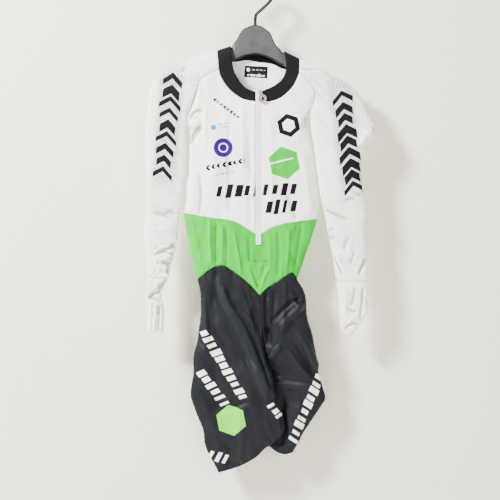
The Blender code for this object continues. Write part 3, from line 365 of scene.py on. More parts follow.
def leg_half(side, top, hem, outseam, crotch, inseam, shift):
    """Front or back of a leg: open to the other leg above the crotch, a flat tube below it."""
    upper = curve(crotch, np.linspace(0, 1, CROTCH_ROWS + 1))
    lower = curve(inseam, np.linspace(0, 1, LEG_ROWS + 1))[1:]
    inner = np.vstack((upper, lower))
    opening = np.clip(inner[:, 2], 0, 1)[:, None]
    outer = curve(outseam, np.linspace(0, 1, len(inner)) ** OUTSEAM_EASE)
    count = FRONT_COLS if side == "front" else BACK_COLS
    f = np.array([shares(count, float(e)) for e in opening[:, 0]])
    xz = patch(top, hem, outer, inner[:, :2], f)
    sign = -1 if side == "front" else 1
    settle = smooth((LEG_PART_Z - xz[..., 1]) / LEG_PART_REACH) * smooth((f - 0.25) / 0.5)
    y = sign * depth(xz[..., 1], side) * profile(f, opening, ROUND_BODY) + shift * settle
    return np.stack((xz[..., 0], y, xz[..., 1]), axis=-1)


# %% Grids of all the panels
cap = np.linspace(COLLAR_ROW, UNDERARM_ROW, CAP_ROWS + 1)
arm = np.linspace(UNDERARM_ROW, CUFF_ROW, ARM_ROWS + 1)
cuff = np.linspace(CUFF_ROW, HEM_ROW, CUFF_ROWS + 1)
cap_power = np.linspace(ROUND_NECK, ROUND_BODY, CAP_ROWS + 1)
body_power = np.r_[cap_power, np.full(SIDE_ROWS, ROUND_BODY)]
waist_power = np.full(WAIST_ROWS + 1, ROUND_BODY)
SLEEVES = {"right": SLEEVE_RIGHT, "left": SLEEVE_LEFT}
grids, back_halves, waist_front_halves, waist_back_halves = {}, {}, {}, {}
for side, table in SLEEVES.items():
    sleeve = sleeve_grid(table, np.r_[cap, arm[1:]])
    grids["sleeve_" + side] = sleeve
    grids["cuff_" + side] = sleeve_grid(table, cuff)
    seam = curve(SIDE[side], np.linspace(0, 1, SIDE_ROWS + 1))[1:][:, (0, 2, 1)]
    front_border = np.vstack((sleeve[:CAP_ROWS + 1, 0], seam))
    back_border = np.vstack((sleeve[:CAP_ROWS + 1, -1], seam))
    centre = even_line((ZIP_X[side], NECK[side][-1][1]), (ZIP_X[side], WAIST[side][-1][1]), front_border)
    front = body_half("front", NECK[side], WAIST[side], front_border, centre, FRONT_COLS, body_power)
    grids["front_" + side] = front
    centre = even_line(NECK_BACK[side][-1], WAIST_BACK[side][-1], back_border)
    back_halves[side] = body_half("back", NECK_BACK[side], WAIST_BACK[side], back_border, centre,
                                  BACK_COLS, body_power)
    seam = curve(SIDE_WAIST[side], np.linspace(0, 1, WAIST_ROWS + 1))[:, (0, 2, 1)]
    centre = even_line(WAIST_POINT, HIP[side][-1], seam)
    half = body_half("front", WAIST[side], HIP[side], seam, centre, FRONT_COLS, waist_power)
    move = np.zeros_like(half[0])
    move[:, (0, 2)] = np.vstack((front[-1][:-1, (0, 2)], WAIST_POINT)) - half[0][:, (0, 2)]
    half = half + (1 - np.linspace(0, 1, WAIST_ROWS + 1))[:, None, None] * move
    half[0, :-1, 1] = front[-1][:-1, 1]
    waist_front_halves[side] = half
    centre = even_line(WAIST_BACK[side][-1], HIP_BACK[side][-1], seam)
    waist_back_halves[side] = body_half("back", WAIST_BACK[side], HIP_BACK[side], seam, centre,
                                        BACK_COLS, waist_power)
    for face, hip in (("front", HIP), ("back", HIP_BACK)):
        grids["shorts_" + face + "_" + side] = leg_half(face, hip[side], HEM[side], OUTSEAM[side],
                                                        CROTCH[face], INSEAM[side], LEG_SHIFT[side])
for name, halves in (("back", back_halves), ("waist_front", waist_front_halves),
                     ("waist_back", waist_back_halves)):
    grids[name] = np.hstack((halves["right"], halves["left"][:, ::-1][:, 1:]))

# %% Collar band
lower_parts, upper_parts = [], []
for side, table in SLEEVES.items():
    shoulder_low, shoulder_high = grids["sleeve_" + side][0], sleeve_grid(table, [0])[0]
    lower_parts.append(np.vstack((grids["front_" + side][0][::-1], shoulder_low[1:-1],
                                  back_halves[side][0])))
    lines = []
    for points, count, start_y, end_y in (
            (COLLAR_TOP[side], FRONT_COLS, shoulder_high[0, 1], COLLAR_FRONT_Y),
            (COLLAR_BACK[side], BACK_COLS, shoulder_high[-1, 1], COLLAR_BACK_Y)):
        xz = curve(points, open_shares(count))
        lines.append(np.column_stack((xz[:, 0], np.linspace(start_y, end_y, count), xz[:, 1])))
    upper_parts.append(np.vstack((lines[0][::-1], shoulder_high[1:-1], lines[1])))
lower_edge = np.vstack((lower_parts[0], lower_parts[1][::-1][1:]))
upper_edge = np.vstack((upper_parts[0], upper_parts[1][::-1][1:]))
down = np.linspace(0, 1, COLLAR_ROWS)[:, None, None]
grids["collar"] = upper_edge + (lower_edge - upper_edge) * down
print("panels:", {name: grid.shape[:2] for name, grid in grids.items()})

# %% [markdown]
# ## Creases
#
# Cloth that hangs has few strong folds and many faint ones. Each strong one is placed as
# a line in the front view with a height and two widths, one for each side of the line: unequal
# widths give the sharp lip of a flap, equal ones a soft ridge, and a negative height a trough.
# Faint, uneven waves lie over all of it. Near a seam that holds the cloth flat the relief fades.

# %% Table of creases
# For the pieces named: x and z of each point, width on the left and right of the line's direction,
# height, share of the length over which it rises at its start and falls at its end. After a colon,
# f and b keep it to the front and the back of a tube, l and r to the right and the left leg's side.
RIGHT_FRONT, LEFT_FRONT = "front_right waist_front", "front_left waist_front"
CREASES = {
    "sleeve_right:f": (
        (-187, -206, -158, -210, -130, -212, 4, 9, 3.3, 0.3, 0.2),
        (-153, -298, -139, -293, -126, -290, 3, 8, 3.9, 0.1, 0.5),
        (-153, -174, -185, -207, -204, -243, 9, 9, 2.1, 0.3, 0.3),
        (-233, -213, -199, -230, -162, -234, 6, 9, -2.4, 0.3, 0.3),
        (-245, -335, -204, -381, -171, -404, 10, 12, 2.2, 0.3, 0.3),
        (-245, -462, -210, -478, -176, -473, 8, 10, 2.7, 0.3, 0.3),
        (-247, -519, -210, -529, -180, -512, 7, 10, -3.0, 0.3, 0.3),
        (-250, -554, -222, -565, -185, -556, 6, 9, 3.3, 0.3, 0.2),
        (-238, -618, -220, -605, -194, -600, 2.5, 7, 4.2, 0.3, 0.2),
        (-238, -625, -220, -616, -188, -621, 2.5, 4, -3.4, 0.3, 0.1),
        (-214, -627, -202, -632, -189, -643, 2.5, 5, 3.6, 0.3, 0.1),
    ),
    "sleeve_right:f cuff_right:f": (
        (-184, -602, -204, -609, -222, -616, 4, 7, -4.5, 0.05, 0.4),
        (-190, -620, -213, -632, -238, -630, 4, 9, 4.2, 0.2, 0.3),
        (-196, -646, -213, -642, -231, -642, 4, 6, -3.9, 0.1, 0.4),
        (-199, -668, -222, -683, -247, -678, 4, 9, 5.1, 0.1, 0.2),
        (-217, -706, -236, -713, -251, -722, 4, 6, -4.5, 0.1, 0.2),
        (-218, -630, -226, -660, -248, -681, 6, 3, 4.4, 0.3, 0.1),
        (-192, -630, -200, -650, -206, -668, 5, 4, -3.6, 0.3, 0.1),
        (-228, -674, -213, -670, -201, -672, 5, 2.5, 4.4, 0.4, 0.1),
    ),
    "cuff_right:f": (
        (-227, -720, -231, -761, -236, -799, 3.5, 4.5, 2.8, 0.3, 0.05),
        (-240, -716, -243, -763, -245, -799, 3, 4, 2.5, 0.3, 0.05),
        (-220, -730, -222, -768, -224, -799, 3, 4, -2.5, 0.3, 0.05),
        (-251, -717, -238, -701, -220, -686, 2.5, 6, 4.6, 0.1, 0.3),
        (-249, -722, -234, -722, -219, -731, 5, 2.5, -3.8, 0.1, 0.2),
        (-229, -734, -235, -748, -225, -754, 3, 3, 2.6, 0.3, 0.2),
    ),
    "sleeve_right:b": (
        (-245, -250, -200, -280, -165, -320, 9, 12, 3.0, 0.3, 0.3),
        (-170, -430, -210, -450, -245, -440, 8, 11, 3.3, 0.2, 0.3),
        (-182, -530, -215, -548, -250, -540, 6, 9, -3.3, 0.2, 0.3),
        (-186, -590, -220, -600, -248, -618, 6, 9, 3.9, 0.2, 0.3),
    ),
    "sleeve_right:b cuff_right:b": (
        (-205, -676, -225, -690, -248, -692, 5, 8, -3.6, 0.1, 0.3),
    ),
    "cuff_right:b": (
        (-232, -715, -230, -760, -228, -799, 4, 5, 2.5, 0.3, 0.05),
    ),
    "sleeve_left:f": (
        (98, -203, 130, -204, 165, -207, 3, 9, 3.6, 0.1, 0.4),
        (104, -218, 115, -226, 130, -236, 4, 7, 2.7, 0.2, 0.4),
        (137, -253, 132, -269, 130, -283, 4, 8, 2.4, 0.2, 0.2),
        (268, -333, 243, -358, 220, -393, 7, 14, 4.5, 0.1, 0.4),
        (240, -438, 215, -450, 187, -446, 8, 10, -2.7, 0.1, 0.4),
        (238, -470, 204, -487, 169, -487, 8, 11, 2.7, 0.1, 0.4),
        (155, -518, 180, -530, 215, -543, 3, 3, -3.4, 0.1, 0.4),
        (157, -511, 182, -522, 212, -533, 4, 5, 2.8, 0.1, 0.4),
        (197, -503, 207, -495, 231, -495, 2.5, 4, -2.2, 0.3, 0.4),
        (214, -474, 228, -482, 243, -488, 3, 3, -2.0, 0.4, 0.2),
        (163, -566, 173, -562, 184, -562, 2.5, 4, -2.4, 0.1, 0.5),
        (163, -582, 172, -583, 181, -582, 2.5, 3, -1.8, 0.1, 0.5),
        (216, -574, 204, -593, 199, -616, 3, 5, -2.6, 0.4, 0.3),
        (222, -580, 214, -600, 208, -626, 4, 5, 2.2, 0.4, 0.3),
        (227, -610, 219, -627, 213, -650, 2.5, 5, -2.6, 0.3, 0.3),
        (175, -622, 187, -649, 197, -669, 3, 3, -3.0, 0.2, 0.2),
        (181, -622, 194, -648, 203, -666, 3, 5, 2.4, 0.3, 0.2),
        (251, -628, 241, -651, 231, -670, 3, 5, -3.2, 0.2, 0.2),
        (245, -622, 234, -645, 225, -666, 4, 4, 2.2, 0.3, 0.2),
        (150, -330, 175, -420, 185, -540, 14, 18, 2.4, 0.3, 0.3),
    ),
    "cuff_left:f": (
        (208, -690, 205, -725, 203, -770, 6, 8, 2.2, 0.3, 0.3),
        (224, -690, 221, -724, 215, -742, 3, 4, -2.4, 0.2, 0.3),
        (243, -690, 241, -729, 235, -774, 3.5, 3, -3.4, 0.2, 0.2),
        (200, -737, 215, -748, 234, -751, 3, 5, -2.4, 0.3, 0.3),
        (199, -793, 213, -782, 232, -778, 3, 4, -2.8, 0.2, 0.2),
        (203, -782, 214, -772, 230, -768, 4, 4, 2.2, 0.3, 0.3),
    ),
    "sleeve_left:b": (
        (262, -330, 225, -345, 190, -330, 8, 12, 3.6, 0.1, 0.4),
        (142, -440, 185, -455, 232, -440, 8, 11, 3.3, 0.2, 0.3),
        (156, -530, 195, -548, 245, -536, 6, 10, -3.3, 0.2, 0.3),
    ),
    "sleeve_left:b cuff_left:b": (
        (175, -640, 210, -660, 250, -668, 5, 8, 3.6, 0.2, 0.3),
    ),
    "cuff_left:b": (
        (205, -700, 212, -745, 214, -792, 4, 6, 2.5, 0.3, 0.1),
    ),
    RIGHT_FRONT: (
        (-128, -262, -135, -285, -148, -300, 5, 9, 2.4, 0.3, 0.2),
        (-117, -280, -117, -335, -117, -395, 3.5, 5, 2.4, 0.2, 0.3),
        (-91, -289, -93, -381, -89, -519, 9, 12, 2.5, 0.2, 0.2),
        (-63, -294, -66, -381, -63, -540, 8, 11, -2.1, 0.2, 0.2),
        (-33, -278, -31, -358, -33, -450, 3, 6, 2.2, 0.2, 0.3),
        (-20, -312, -17, -427, -17, -560, 5, 8, -2.0, 0.2, 0.2),
        (-151, -440, -146, -490, -150, -530, 7, 11, 3.3, 0.3, 0.2),
        (-136, -420, -128, -480, -134, -545, 7, 9, -2.7, 0.3, 0.2),
    ),
    LEFT_FRONT: (
        (31, -301, 36, -404, 31, -545, 5, 9, 2.1, 0.2, 0.2),
        (100, -358, 114, -450, 124, -540, 8, 10, 2.7, 0.3, 0.2),
        (63, -473, 77, -508, 91, -548, 7, 9, -2.1, 0.3, 0.2),
        (84, -268, 100, -300, 110, -345, 7, 12, 2.4, 0.3, 0.3),
        (60, -330, 64, -400, 60, -455, 10, 14, 1.8, 0.3, 0.3),
    ),
    "back waist_back": (
        (-110, -240, -60, -280, -40, -360, 12, 18, 3.6, 0.3, 0.3),
        (84, -250, 44, -300, 34, -400, 20, 26, -3.0, 0.4, 0.4),
        (-90, -400, -84, -480, -80, -620, 12, 16, 3.9, 0.3, 0.2),
        (-30, -360, -24, -470, -28, -640, 10, 12, -3.3, 0.3, 0.2),
        (40, -400, 34, -500, 36, -650, 10, 14, 3.6, 0.3, 0.2),
        (96, -360, 92, -460, 78, -600, 10, 13, -3.6, 0.3, 0.2),
    ),
    "back": (
        (-40, -190, 0, -205, 50, -196, 6, 10, 2.7, 0.3, 0.3),
        (-140, -330, -100, -350, -60, -346, 6, 12, 3.3, 0.1, 0.4),
        (110, -320, 80, -345, 40, -346, 12, 6, 3.3, 0.1, 0.4),
    ),
    "waist_front": (
        (-107, -532, -107, -588, -104, -652, 4, 5, 3.9, 0.2, 0.2),
        (-93, -540, -94, -600, -93, -650, 4, 5, -3.3, 0.2, 0.2),
        (-79, -547, -79, -600, -82, -650, 3, 4, 3.3, 0.2, 0.15),
        (-70, -552, -68, -600, -70, -655, 3, 4, -2.7, 0.2, 0.15),
        (-54, -561, -45, -602, -34, -672, 3, 6, 3.9, 0.2, 0.15),
        (-20, -570, -18, -605, -16, -645, 3, 4, -2.4, 0.2, 0.2),
        (29, -566, 31, -607, 31, -650, 3, 5, 3.3, 0.2, 0.2),
        (46, -560, 50, -610, 46, -680, 6, 7, -2.7, 0.2, 0.2),
        (72, -556, 72, -607, 66, -665, 4, 5, 3.0, 0.2, 0.2),
        (-153, -533, -139, -588, -124, -660, 6, 8, 2.7, 0.2, 0.2),
        (102, -548, 96, -600, 86, -660, 5, 7, -2.7, 0.2, 0.2),
        (-15.5, -571, -15.5, -604, -15.5, -638, 2, 2, -1.4, 0.1, 0.05),
        (30.5, -568, 30.5, -604, 30.5, -638, 2, 2, -1.4, 0.1, 0.05),
        (-16, -637, 8, -637, 31, -637, 2, 2, -1.6, 0.05, 0.05),
        (1, -610, 0, -645, 4, -700, 3, 3.5, -2.7, 0.3, 0.1),
        (-24, -645, -12, -668, 0, -700, 3.5, 4, 3.0, 0.2, 0.1),
        (33, -645, 20, -668, 9, -700, 4, 3.5, 3.0, 0.2, 0.1),
        (-12, -640, -6, -665, 2, -700, 2.5, 3, -2.1, 0.2, 0.1),
        (18, -640, 12, -668, 6, -700, 3, 2.5, -2.1, 0.2, 0.1),
    ),
    "shorts_front_right waist_front:l": (
        (-91, -645, -98, -703, -102, -760, 7, 9, -5.4, 0.15, 0.4),
        (-55, -655, -56, -690, -40, -728, 7, 9, -4.5, 0.15, 0.3),
        (-22, -680, -16, -715, -8, -760, 5, 8, 3.9, 0.15, 0.3),
    ),
    "shorts_front_right": (
        (-91, -788, -76, -825, -52, -844, 7, 10, -3.8, 0.3, 0.3),
        (-60, -975, -40, -963, -16, -951, 5, 10, -4.2, 0.3, 0.2),
        (-118, -720, -114, -795, -123, -880, 10, 14, 4.5, 0.2, 0.3),
        (-98, -850, -96, -940, -82, -1010, 14, 18, -3.8, 0.3, 0.3),
        (-132, -950, -100, -1010, -84, -1085, 10, 14, 4.2, 0.2, 0.1),
        (-47, -985, -33, -1037, -40, -1100, 9, 12, 4.5, 0.3, 0.1),
        (-10, -910, 12, -968, 20, -1040, 8, 12, -3.8, 0.3, 0.2),
        (-66, -1040, -62, -1070, -64, -1110, 7, 8, -3.5, 0.4, 0.1),
        (40, -975, 50, -1000, 52, -1030, 5, 7, 3.2, 0.3, 0.2),
    ),
    "shorts_front_left waist_front:r": (
        (74, -700, 88, -732, 104, -756, 5, 6, 3.6, 0.3, 0.3),
        (66, -672, 61, -772, 54, -835, 7, 9, 3.9, 0.15, 0.3),
        (43, -690, 36, -784, 33, -841, 6, 8, -4.8, 0.15, 0.3),
        (22, -700, 22, -760, 24, -820, 5, 7, -6.0, 0.15, 0.2),
    ),
    "shorts_front_left": (
        (85, -788, 116, -841, 141, -894, 5, 9, 4.5, 0.2, 0.2),
        (71, -837, 105, -883, 138, -924, 5, 9, 4.5, 0.2, 0.2),
        (78, -812, 110, -862, 138, -908, 5, 6, -4.2, 0.2, 0.2),
        (22, -866, 38, -890, 58, -906, 4, 8, -5.4, 0.1, 0.3),
        (20, -911, 66, -915, 140, -920, 2.5, 4, 2.4, 0.1, 0.2),
        (100, -945, 95, -991, 90, -1060, 9, 12, 3.5, 0.3, 0.1),
        (130, -930, 120, -968, 102, -1020, 8, 11, -3.2, 0.3, 0.2),
        (62, -930, 62, -990, 58, -1065, 8, 10, -3.8, 0.3, 0.1),
    ),
    "shorts_back_right waist_back:l": (
        (-110, -650, -100, -740, -104, -860, 10, 13, 4.5, 0.2, 0.3),
        (-70, -655, -56, -760, -20, -880, 10, 12, -4.8, 0.2, 0.2),
    ),
    "shorts_back_right": (
        (-30, -740, -50, -850, -70, -960, 9, 14, 5.4, 0.2, 0.3),
        (-120, -900, -90, -980, -60, -1040, 10, 14, 3.9, 0.2, 0.3),
        (0, -900, 20, -980, 10, -1050, 9, 12, 3.6, 0.3, 0.2),
        (-90, -1010, -70, -1060, -72, -1110, 8, 10, -3.6, 0.3, 0.1),
    ),
    "shorts_back_left waist_back:r": (
        (70, -650, 84, -760, 110, -860, 9, 13, 4.5, 0.2, 0.3),
        (36, -660, 44, -770, 60, -860, 9, 11, -4.5, 0.2, 0.3),
    ),
    "shorts_back_left": (
        (120, -860, 95, -930, 80, -1020, 9, 14, 4.2, 0.2, 0.2),
        (50, -900, 46, -970, 36, -1050, 9, 12, -3.6, 0.3, 0.1),
    ),
}
# Folds that lie over the cloth beside them: the same columns, but flat on top with steep sides
FOLDS = {
    "shorts_front_right": (
        (-76, -668, -82, -700, -70, -735, -44, -775, -22, -822, -4, -868, 12, -912, 36, -962, 13, 13,
         8.5, 0.22, 0.1),
        (-60, -745, -36, -752, -12, -776, 2, -815, 16, -857, 30, -900, 40, -955, 7, 5, 3.5, 0.1, 0.1),
        (-30, -690, -12, -730, 2, -775, 6, -812, 9, 9, -5.5, 0.3, 0.2),
        (-112, -700, -104, -760, -96, -830, -70, -880, 12, 9, -4.5, 0.3, 0.3),
        (-128, -960, -60, -966, -40, -953, -10, -944, 20, 14, -3.0, 0.3, 0.3),
    ),
    "shorts_front_left": (
        (108, -728, 88, -752, 66, -775, 44, -800, 9, 7, 6.0, 0.15, 0.3),
        (104, -716, 74, -735, 52, -758, 32, -782, 5, 6, -5.0, 0.15, 0.2),
        (20, -780, 24, -808, 24, -838, 10, 9, -7.5, 0.3, 0.3),
        (96, -790, 118, -842, 138, -895, 9, 8, 4.5, 0.25, 0.2),
        (60, -826, 46, -836, 28, -862, 9, 5, 5.0, 0.3, 0.15),
        (28, -915, 76, -920, 136, -926, 5, 11, 3.0, 0.2, 0.2),
    ),
    "shorts_back_right": (
        (-70, -760, -84, -850, -112, -930, 14, 10, 5.0, 0.3, 0.3),
    ),
    "shorts_back_left": (
        (66, -780, 86, -850, 120, -910, 10, 14, 5.0, 0.3, 0.3),
    ),
    "sleeve_right:f": (
        (-158, -296, -146, -300, -136, -310, 9, 5, 3.5, 0.1, 0.5),
    ),
    "cuff_right:f": (
        (-202, -680, -214, -690, -226, -700, 6, 5, -4.0, 0.1, 0.3),
    ),
    "sleeve_left:f": (
        (262, -338, 244, -362, 230, -384, 8, 12, 3.5, 0.2, 0.4),
    ),
    RIGHT_FRONT: (
        (-153, -309, -140, -295, -116, -292, 4, 4, -4.5, 0.05, 0.4),
        (-156, -322, -140, -322, -126, -314, 8, 8, 4.5, 0.1, 0.3),
        (-124, -326, -140, -344, -156, -364, 7, 7, -7.0, 0.3, 0.05),
    ),
    LEFT_FRONT: (
        (122, -305, 110, -318, 108, -345, 7, 6, -3.0, 0.2, 0.4),
    ),
}
print([sum(map(len, table.values())) for table in (CREASES, FOLDS)], "creases and folds placed by hand")

# %% Relief of a panel
# Uneven waves, columns seed, rms height, shortest and longest wavelength, lean of the waves (degrees)
WAVES = {"front": (3, 0.7, 18, 100, 8), "waist_front": (3, 0.7, 18, 100, 8), "back": (5, 1.0, 24, 120, 10),
         "waist_back": (5, 1.0, 24, 120, 10), "sleeve": (11, 0.9, 14, 80, 62), "cuff": (11, 0.9, 14, 80, 62),
         "shorts_front": (17, 0.9, 18, 100, 24), "shorts_back": (23, 1.0, 22, 110, 20),
         "collar": (29, 0.0, 20, 60, 0)}
PINNED = {                      # edges where a seam holds the cloth flat
    "front_right": "start end top", "front_left": "start end top", "back": "start end top",
    "sleeve_right": "start end top", "sleeve_left": "start end top", "cuff_right": "start end",
    "cuff_left": "start end", "waist_front": "start end", "waist_back": "start end",
    "shorts_front_right": "start end", "shorts_front_left": "start end",
    "shorts_back_right": "start end", "shorts_back_left": "start end", "collar": "start end top bottom"}
PIN_REACH = 8.0
CREASE_POWER, FOLD_POWER = 1.5, 4.0
WAVE_COUNT = 22
# Fine wrinkles that the thin cloth keeps, columns height, shortest and longest wavelength, lean
WRINKLES = {"front": (0.10, 7, 15, 4), "waist_front": (0.16, 6, 13, 2), "back": (0.16, 8, 18, 6),
            "waist_back": (0.16, 8, 18, 2), "sleeve": (0.26, 6, 14, 72), "cuff": (0.26, 6, 13, 60),
            "shorts_front": (0.16, 7, 16, 28), "shorts_back": (0.16, 8, 18, 24), "collar": (0.0, 6, 12, 0)}
# Share of the waves that shows in the shade and highlight painted on the creases
WAVE_PAINTED_SHADE_SHARE = 0.45
SOFT_END = 0.25                 # how much of the groove is left along the zip and the centre seam
ZIP_CENTRE, ZIP_STIFF, ZIP_STIFF_FOOT_Z = 4.2, 13.0, -612


def crease_relief(x, z, points, left, right, rise, head, tail, power):
    """Height rise * exp(-(s/width)^power), s being the distance from the line through the points.

    The width is left or right by the side of the line, and the height fades in over the share
    head of the line's length and out over the share tail.
    """
    line = curve(points, np.linspace(0, 1, 25))
    foot, run = line[:-1], np.diff(line, axis=0)
    rel = np.stack((x, z), axis=-1)[..., None, :] - foot
    t = np.clip(np.sum(rel * run, axis=-1) / np.sum(run * run, axis=-1), 0, 1)
    off = rel - t[..., None] * run
    distance = np.linalg.norm(off, axis=-1)
    near = np.argmin(distance, axis=-1)[..., None]
    s = np.take_along_axis(distance, near, -1)[..., 0]
    side = np.take_along_axis(run[:, 0] * off[..., 1] - run[:, 1] * off[..., 0], near, -1)[..., 0]
    along = (near[..., 0] + np.take_along_axis(t, near, -1)[..., 0]) / len(run)
    fade = smooth(along / max(head, 1e-3)) * smooth((1 - along) / max(tail, 1e-3))
    return rise * fade * np.exp(-(s / np.where(side > 0, left, right)) ** power)


def wave_relief(x, z, seed, height, shortest, longest, lean):
    """Sum of sine waves of random length, phase and direction; longer ones are higher."""
    rng = np.random.default_rng(seed)
    length = np.exp(rng.uniform(np.log(shortest), np.log(longest), WAVE_COUNT))
    turn = np.radians(lean + rng.normal(0, 24, WAVE_COUNT))
    phase = rng.uniform(0, 2 * np.pi, WAVE_COUNT)
    bend = 9 * np.sin(z / 47 + seed) + 6 * np.sin(z / 23 + x / 61)
    waves = np.sin(2 * np.pi * ((x + bend)[..., None] * np.cos(turn) + z[..., None] * np.sin(turn))
                   / length + phase)
    share = length ** 0.8
    return height * waves @ share / np.sqrt(np.sum(share**2) / 2)


def arc_lengths(grid):
    """Length along the rows and down the columns, in millimetres, from the first point."""
    across = np.linalg.norm(np.diff(grid, axis=1), axis=-1)
    along = np.linalg.norm(np.diff(grid, axis=0), axis=-1)
    rows, cols = grid.shape[:2]
    return (np.hstack((np.zeros((rows, 1)), np.cumsum(across, axis=1))),
            np.vstack((np.zeros((1, cols)), np.cumsum(along, axis=0))))


def edge_distances(grid):
    """Distance to the nearer side edge and to the nearer end edge of the panel."""
    u, v = arc_lengths(grid)
    return u, u[:, -1:] - u, v, v[-1:] - v


def normals_of(grid, outward):
    """Unit normals: the cross product of the two tangents, turned to the outward side."""
    n = np.cross(np.gradient(grid, axis=1), np.gradient(grid, axis=0))
    n /= np.maximum(np.linalg.norm(n, axis=-1, keepdims=True), 1e-9)
    return n * np.sign(np.sum(n * outward(grid)))


OUTWARD = {
    "front": lambda grid: np.broadcast_to(np.array((0.0, -1.0, 0.0)), grid.shape),
    "back": lambda grid: np.broadcast_to(np.array((0.0, 1.0, 0.0)), grid.shape),
    "tube": lambda grid: grid - grid.mean(axis=1, keepdims=True),
    "band": lambda grid: np.stack((np.zeros(grid.shape[:2]), grid[..., 1], np.full(grid.shape[:2], 4.0)),
                                  axis=-1),
}


def facing_of(name):
    """Which way a panel's outer face looks."""
    if name.startswith(("sleeve", "cuff")):
        return "tube"
    if name == "collar":
        return "band"
    return "back" if "back" in name else "front"


def front_share(name, shape):
    """1 on the part of a panel that faces the front, 0 behind, turning over at a tube's edge."""
    facing = facing_of(name)
    if facing != "tube":
        return np.full(shape, 0.0 if facing == "back" else 1.0)
    middle = (shape[1] - 1) / 2
    return np.tile(smooth((middle - np.arange(shape[1])) / 4 + 0.5), (shape[0], 1))


def placed_on(name):
    """Rows of both tables that lie on a panel, each with the half that it keeps to and its power."""
    for table, power in ((CREASES, CREASE_POWER), (FOLDS, FOLD_POWER)):
        for pieces, rows in table.items():
            for piece in pieces.split():
                target, _, half = piece.partition(":")
                if target == name:
                    yield from ((row, half, power) for row in rows)


def relief(name, grid):
    """All creases and waves of a panel, faded towards its pinned edges and the zip.

    Returns the height, and the part of it from which shade and highlight are painted on the creases: waves
    count less.
    """
    x, z = grid[..., 0], grid[..., 2]
    shown = front_share(name, x.shape)
    total, uneven = np.zeros(x.shape), np.zeros(x.shape)
    halves = {"": 1.0, "f": shown, "b": 1 - shown, "l": smooth((2 - x) / 8), "r": smooth((x - 6) / 8)}
    for (*points, left, right, rise, head, tail), half, power in placed_on(name):
        points = np.reshape(points, (-1, 2))
        total += halves[half] * crease_relief(x, z, points, left, right, rise, head, tail, power)
    key = name if name in WAVES else name.rsplit("_", 1)[0]
    seed, height, shortest, longest, lean = WAVES[key]
    for offset, part in ((0, shown), (1, 1 - shown)):
        if part.any():
            uneven += part * wave_relief(x, z, seed + 40 * offset + ("left" in name), height, shortest,
                                         longest, lean)
    height, shortest, longest, lean = WRINKLES[key]
    patches = smooth(0.5 + 0.5 * wave_relief(x, z, seed + 7, 1.0, 60, 160, lean))
    uneven += patches * wave_relief(x, z, seed + 90 + ("left" in name), height, shortest, longest, lean)
    free = np.ones(x.shape)
    if facing_of(name) == "front":
        free *= 1 - np.exp(-((x - ZIP_CENTRE) / ZIP_STIFF) ** 2) * smooth((z - ZIP_STIFF_FOOT_Z) / 20)
    for edge, distance in zip(("start", "end", "top", "bottom"), edge_distances(grid)):
        if edge in PINNED[name].split():
            free *= smooth(distance / PIN_REACH)
    return (total + uneven) * free, (total + WAVE_PAINTED_SHADE_SHARE * uneven) * free


# %% [markdown]
# ## Sewing
#
# Where two stretch panels are sewn together the cloth is drawn in a little: the seam sits in a
# fine groove and short puckers run away from it. Both are worked into the panel's height near
# each edge. Each panel then becomes a thin shell with a rounded rim.

# %% Seam relief and shells
GROOVE_DEPTH, GROOVE_REACH = 0.8, 3.2
WELD_DISTANCE = 2e-6
RIM_SHARE = 0.45                # of the wall, by which the rim stands out past both faces
PUCKER_HEIGHT, PUCKER_LENGTH, PUCKER_REACH = 0.45, 13.0, 12.0


def seam_relief(name, grid):
    """Groove -d exp(-(e/r)^2) at every edge and puckers h exp(-e/p) sin(2 pi t/l) running off it."""
    start, end, top, bottom = edge_distances(grid)
    total = np.zeros(grid.shape[:2])
    end_share = SOFT_END if name.startswith(("front", "shorts")) else 1.0
    for distance, along, share in ((start, top, 1.0), (end, top, end_share), (top, start, 1.0),
                                   (bottom, start, 1.0)):
        total -= share * GROOVE_DEPTH * np.exp(-(distance / GROOVE_REACH) ** 2)
        wander = 3.0 * np.sin(along / 31) + 2.0 * np.sin(along / 13 + 1)
        total += (PUCKER_HEIGHT * np.exp(-distance / PUCKER_REACH) * smooth(distance / 3.0)
                  * np.sin(2 * np.pi * (along + wander) / PUCKER_LENGTH))
    return total


def ring_index(rows, cols):
    """Grid index of the border points, once round."""
    index = np.arange(rows * cols).reshape(rows, cols)
    return np.concatenate((index[0], index[1:, -1], index[-1, -2::-1], index[-2:0:-1, 0]))


def quads(index):
    """Faces between neighbouring points of an index grid."""
    return np.stack((index[:-1, :-1], index[:-1, 1:], index[1:, 1:], index[1:, :-1]), axis=-1).reshape(-1, 4)


def write_mesh(name, points, faces, turn=False):
    """Mesh object from points in millimetres and faces that all have as many corners."""
    mesh = bpy.data.meshes.new(name)
    faces = np.asarray(faces)
    if turn:
        faces = faces[:, ::-1]
    corners = faces.shape[1]
    mesh.vertices.add(len(points))
    mesh.vertices.foreach_set("co", (np.asarray(points, float) * MM).ravel())
    mesh.loops.add(faces.size)
    mesh.loops.foreach_set("vertex_index", faces.ravel().astype(np.int32))
    mesh.polygons.add(len(faces))
    mesh.polygons.foreach_set("loop_start", np.arange(0, faces.size, corners, dtype=np.int32))
    mesh.polygons.foreach_set("use_smooth", np.ones(len(faces), dtype=bool))
    mesh.update(calc_edges=True)
    mesh.validate()
    obj = bpy.data.objects.new(name, mesh)
    bpy.context.scene.collection.objects.link(obj)
    return obj


def weld(obj):
    """Join points that lie on one spot, which closes poles and the ends of tubes."""
    body = bmesh.new()
    body.from_mesh(obj.data)
    bmesh.ops.remove_doubles(body, verts=body.verts, dist=WELD_DISTANCE)
    body.to_mesh(obj.data)
    body.free()


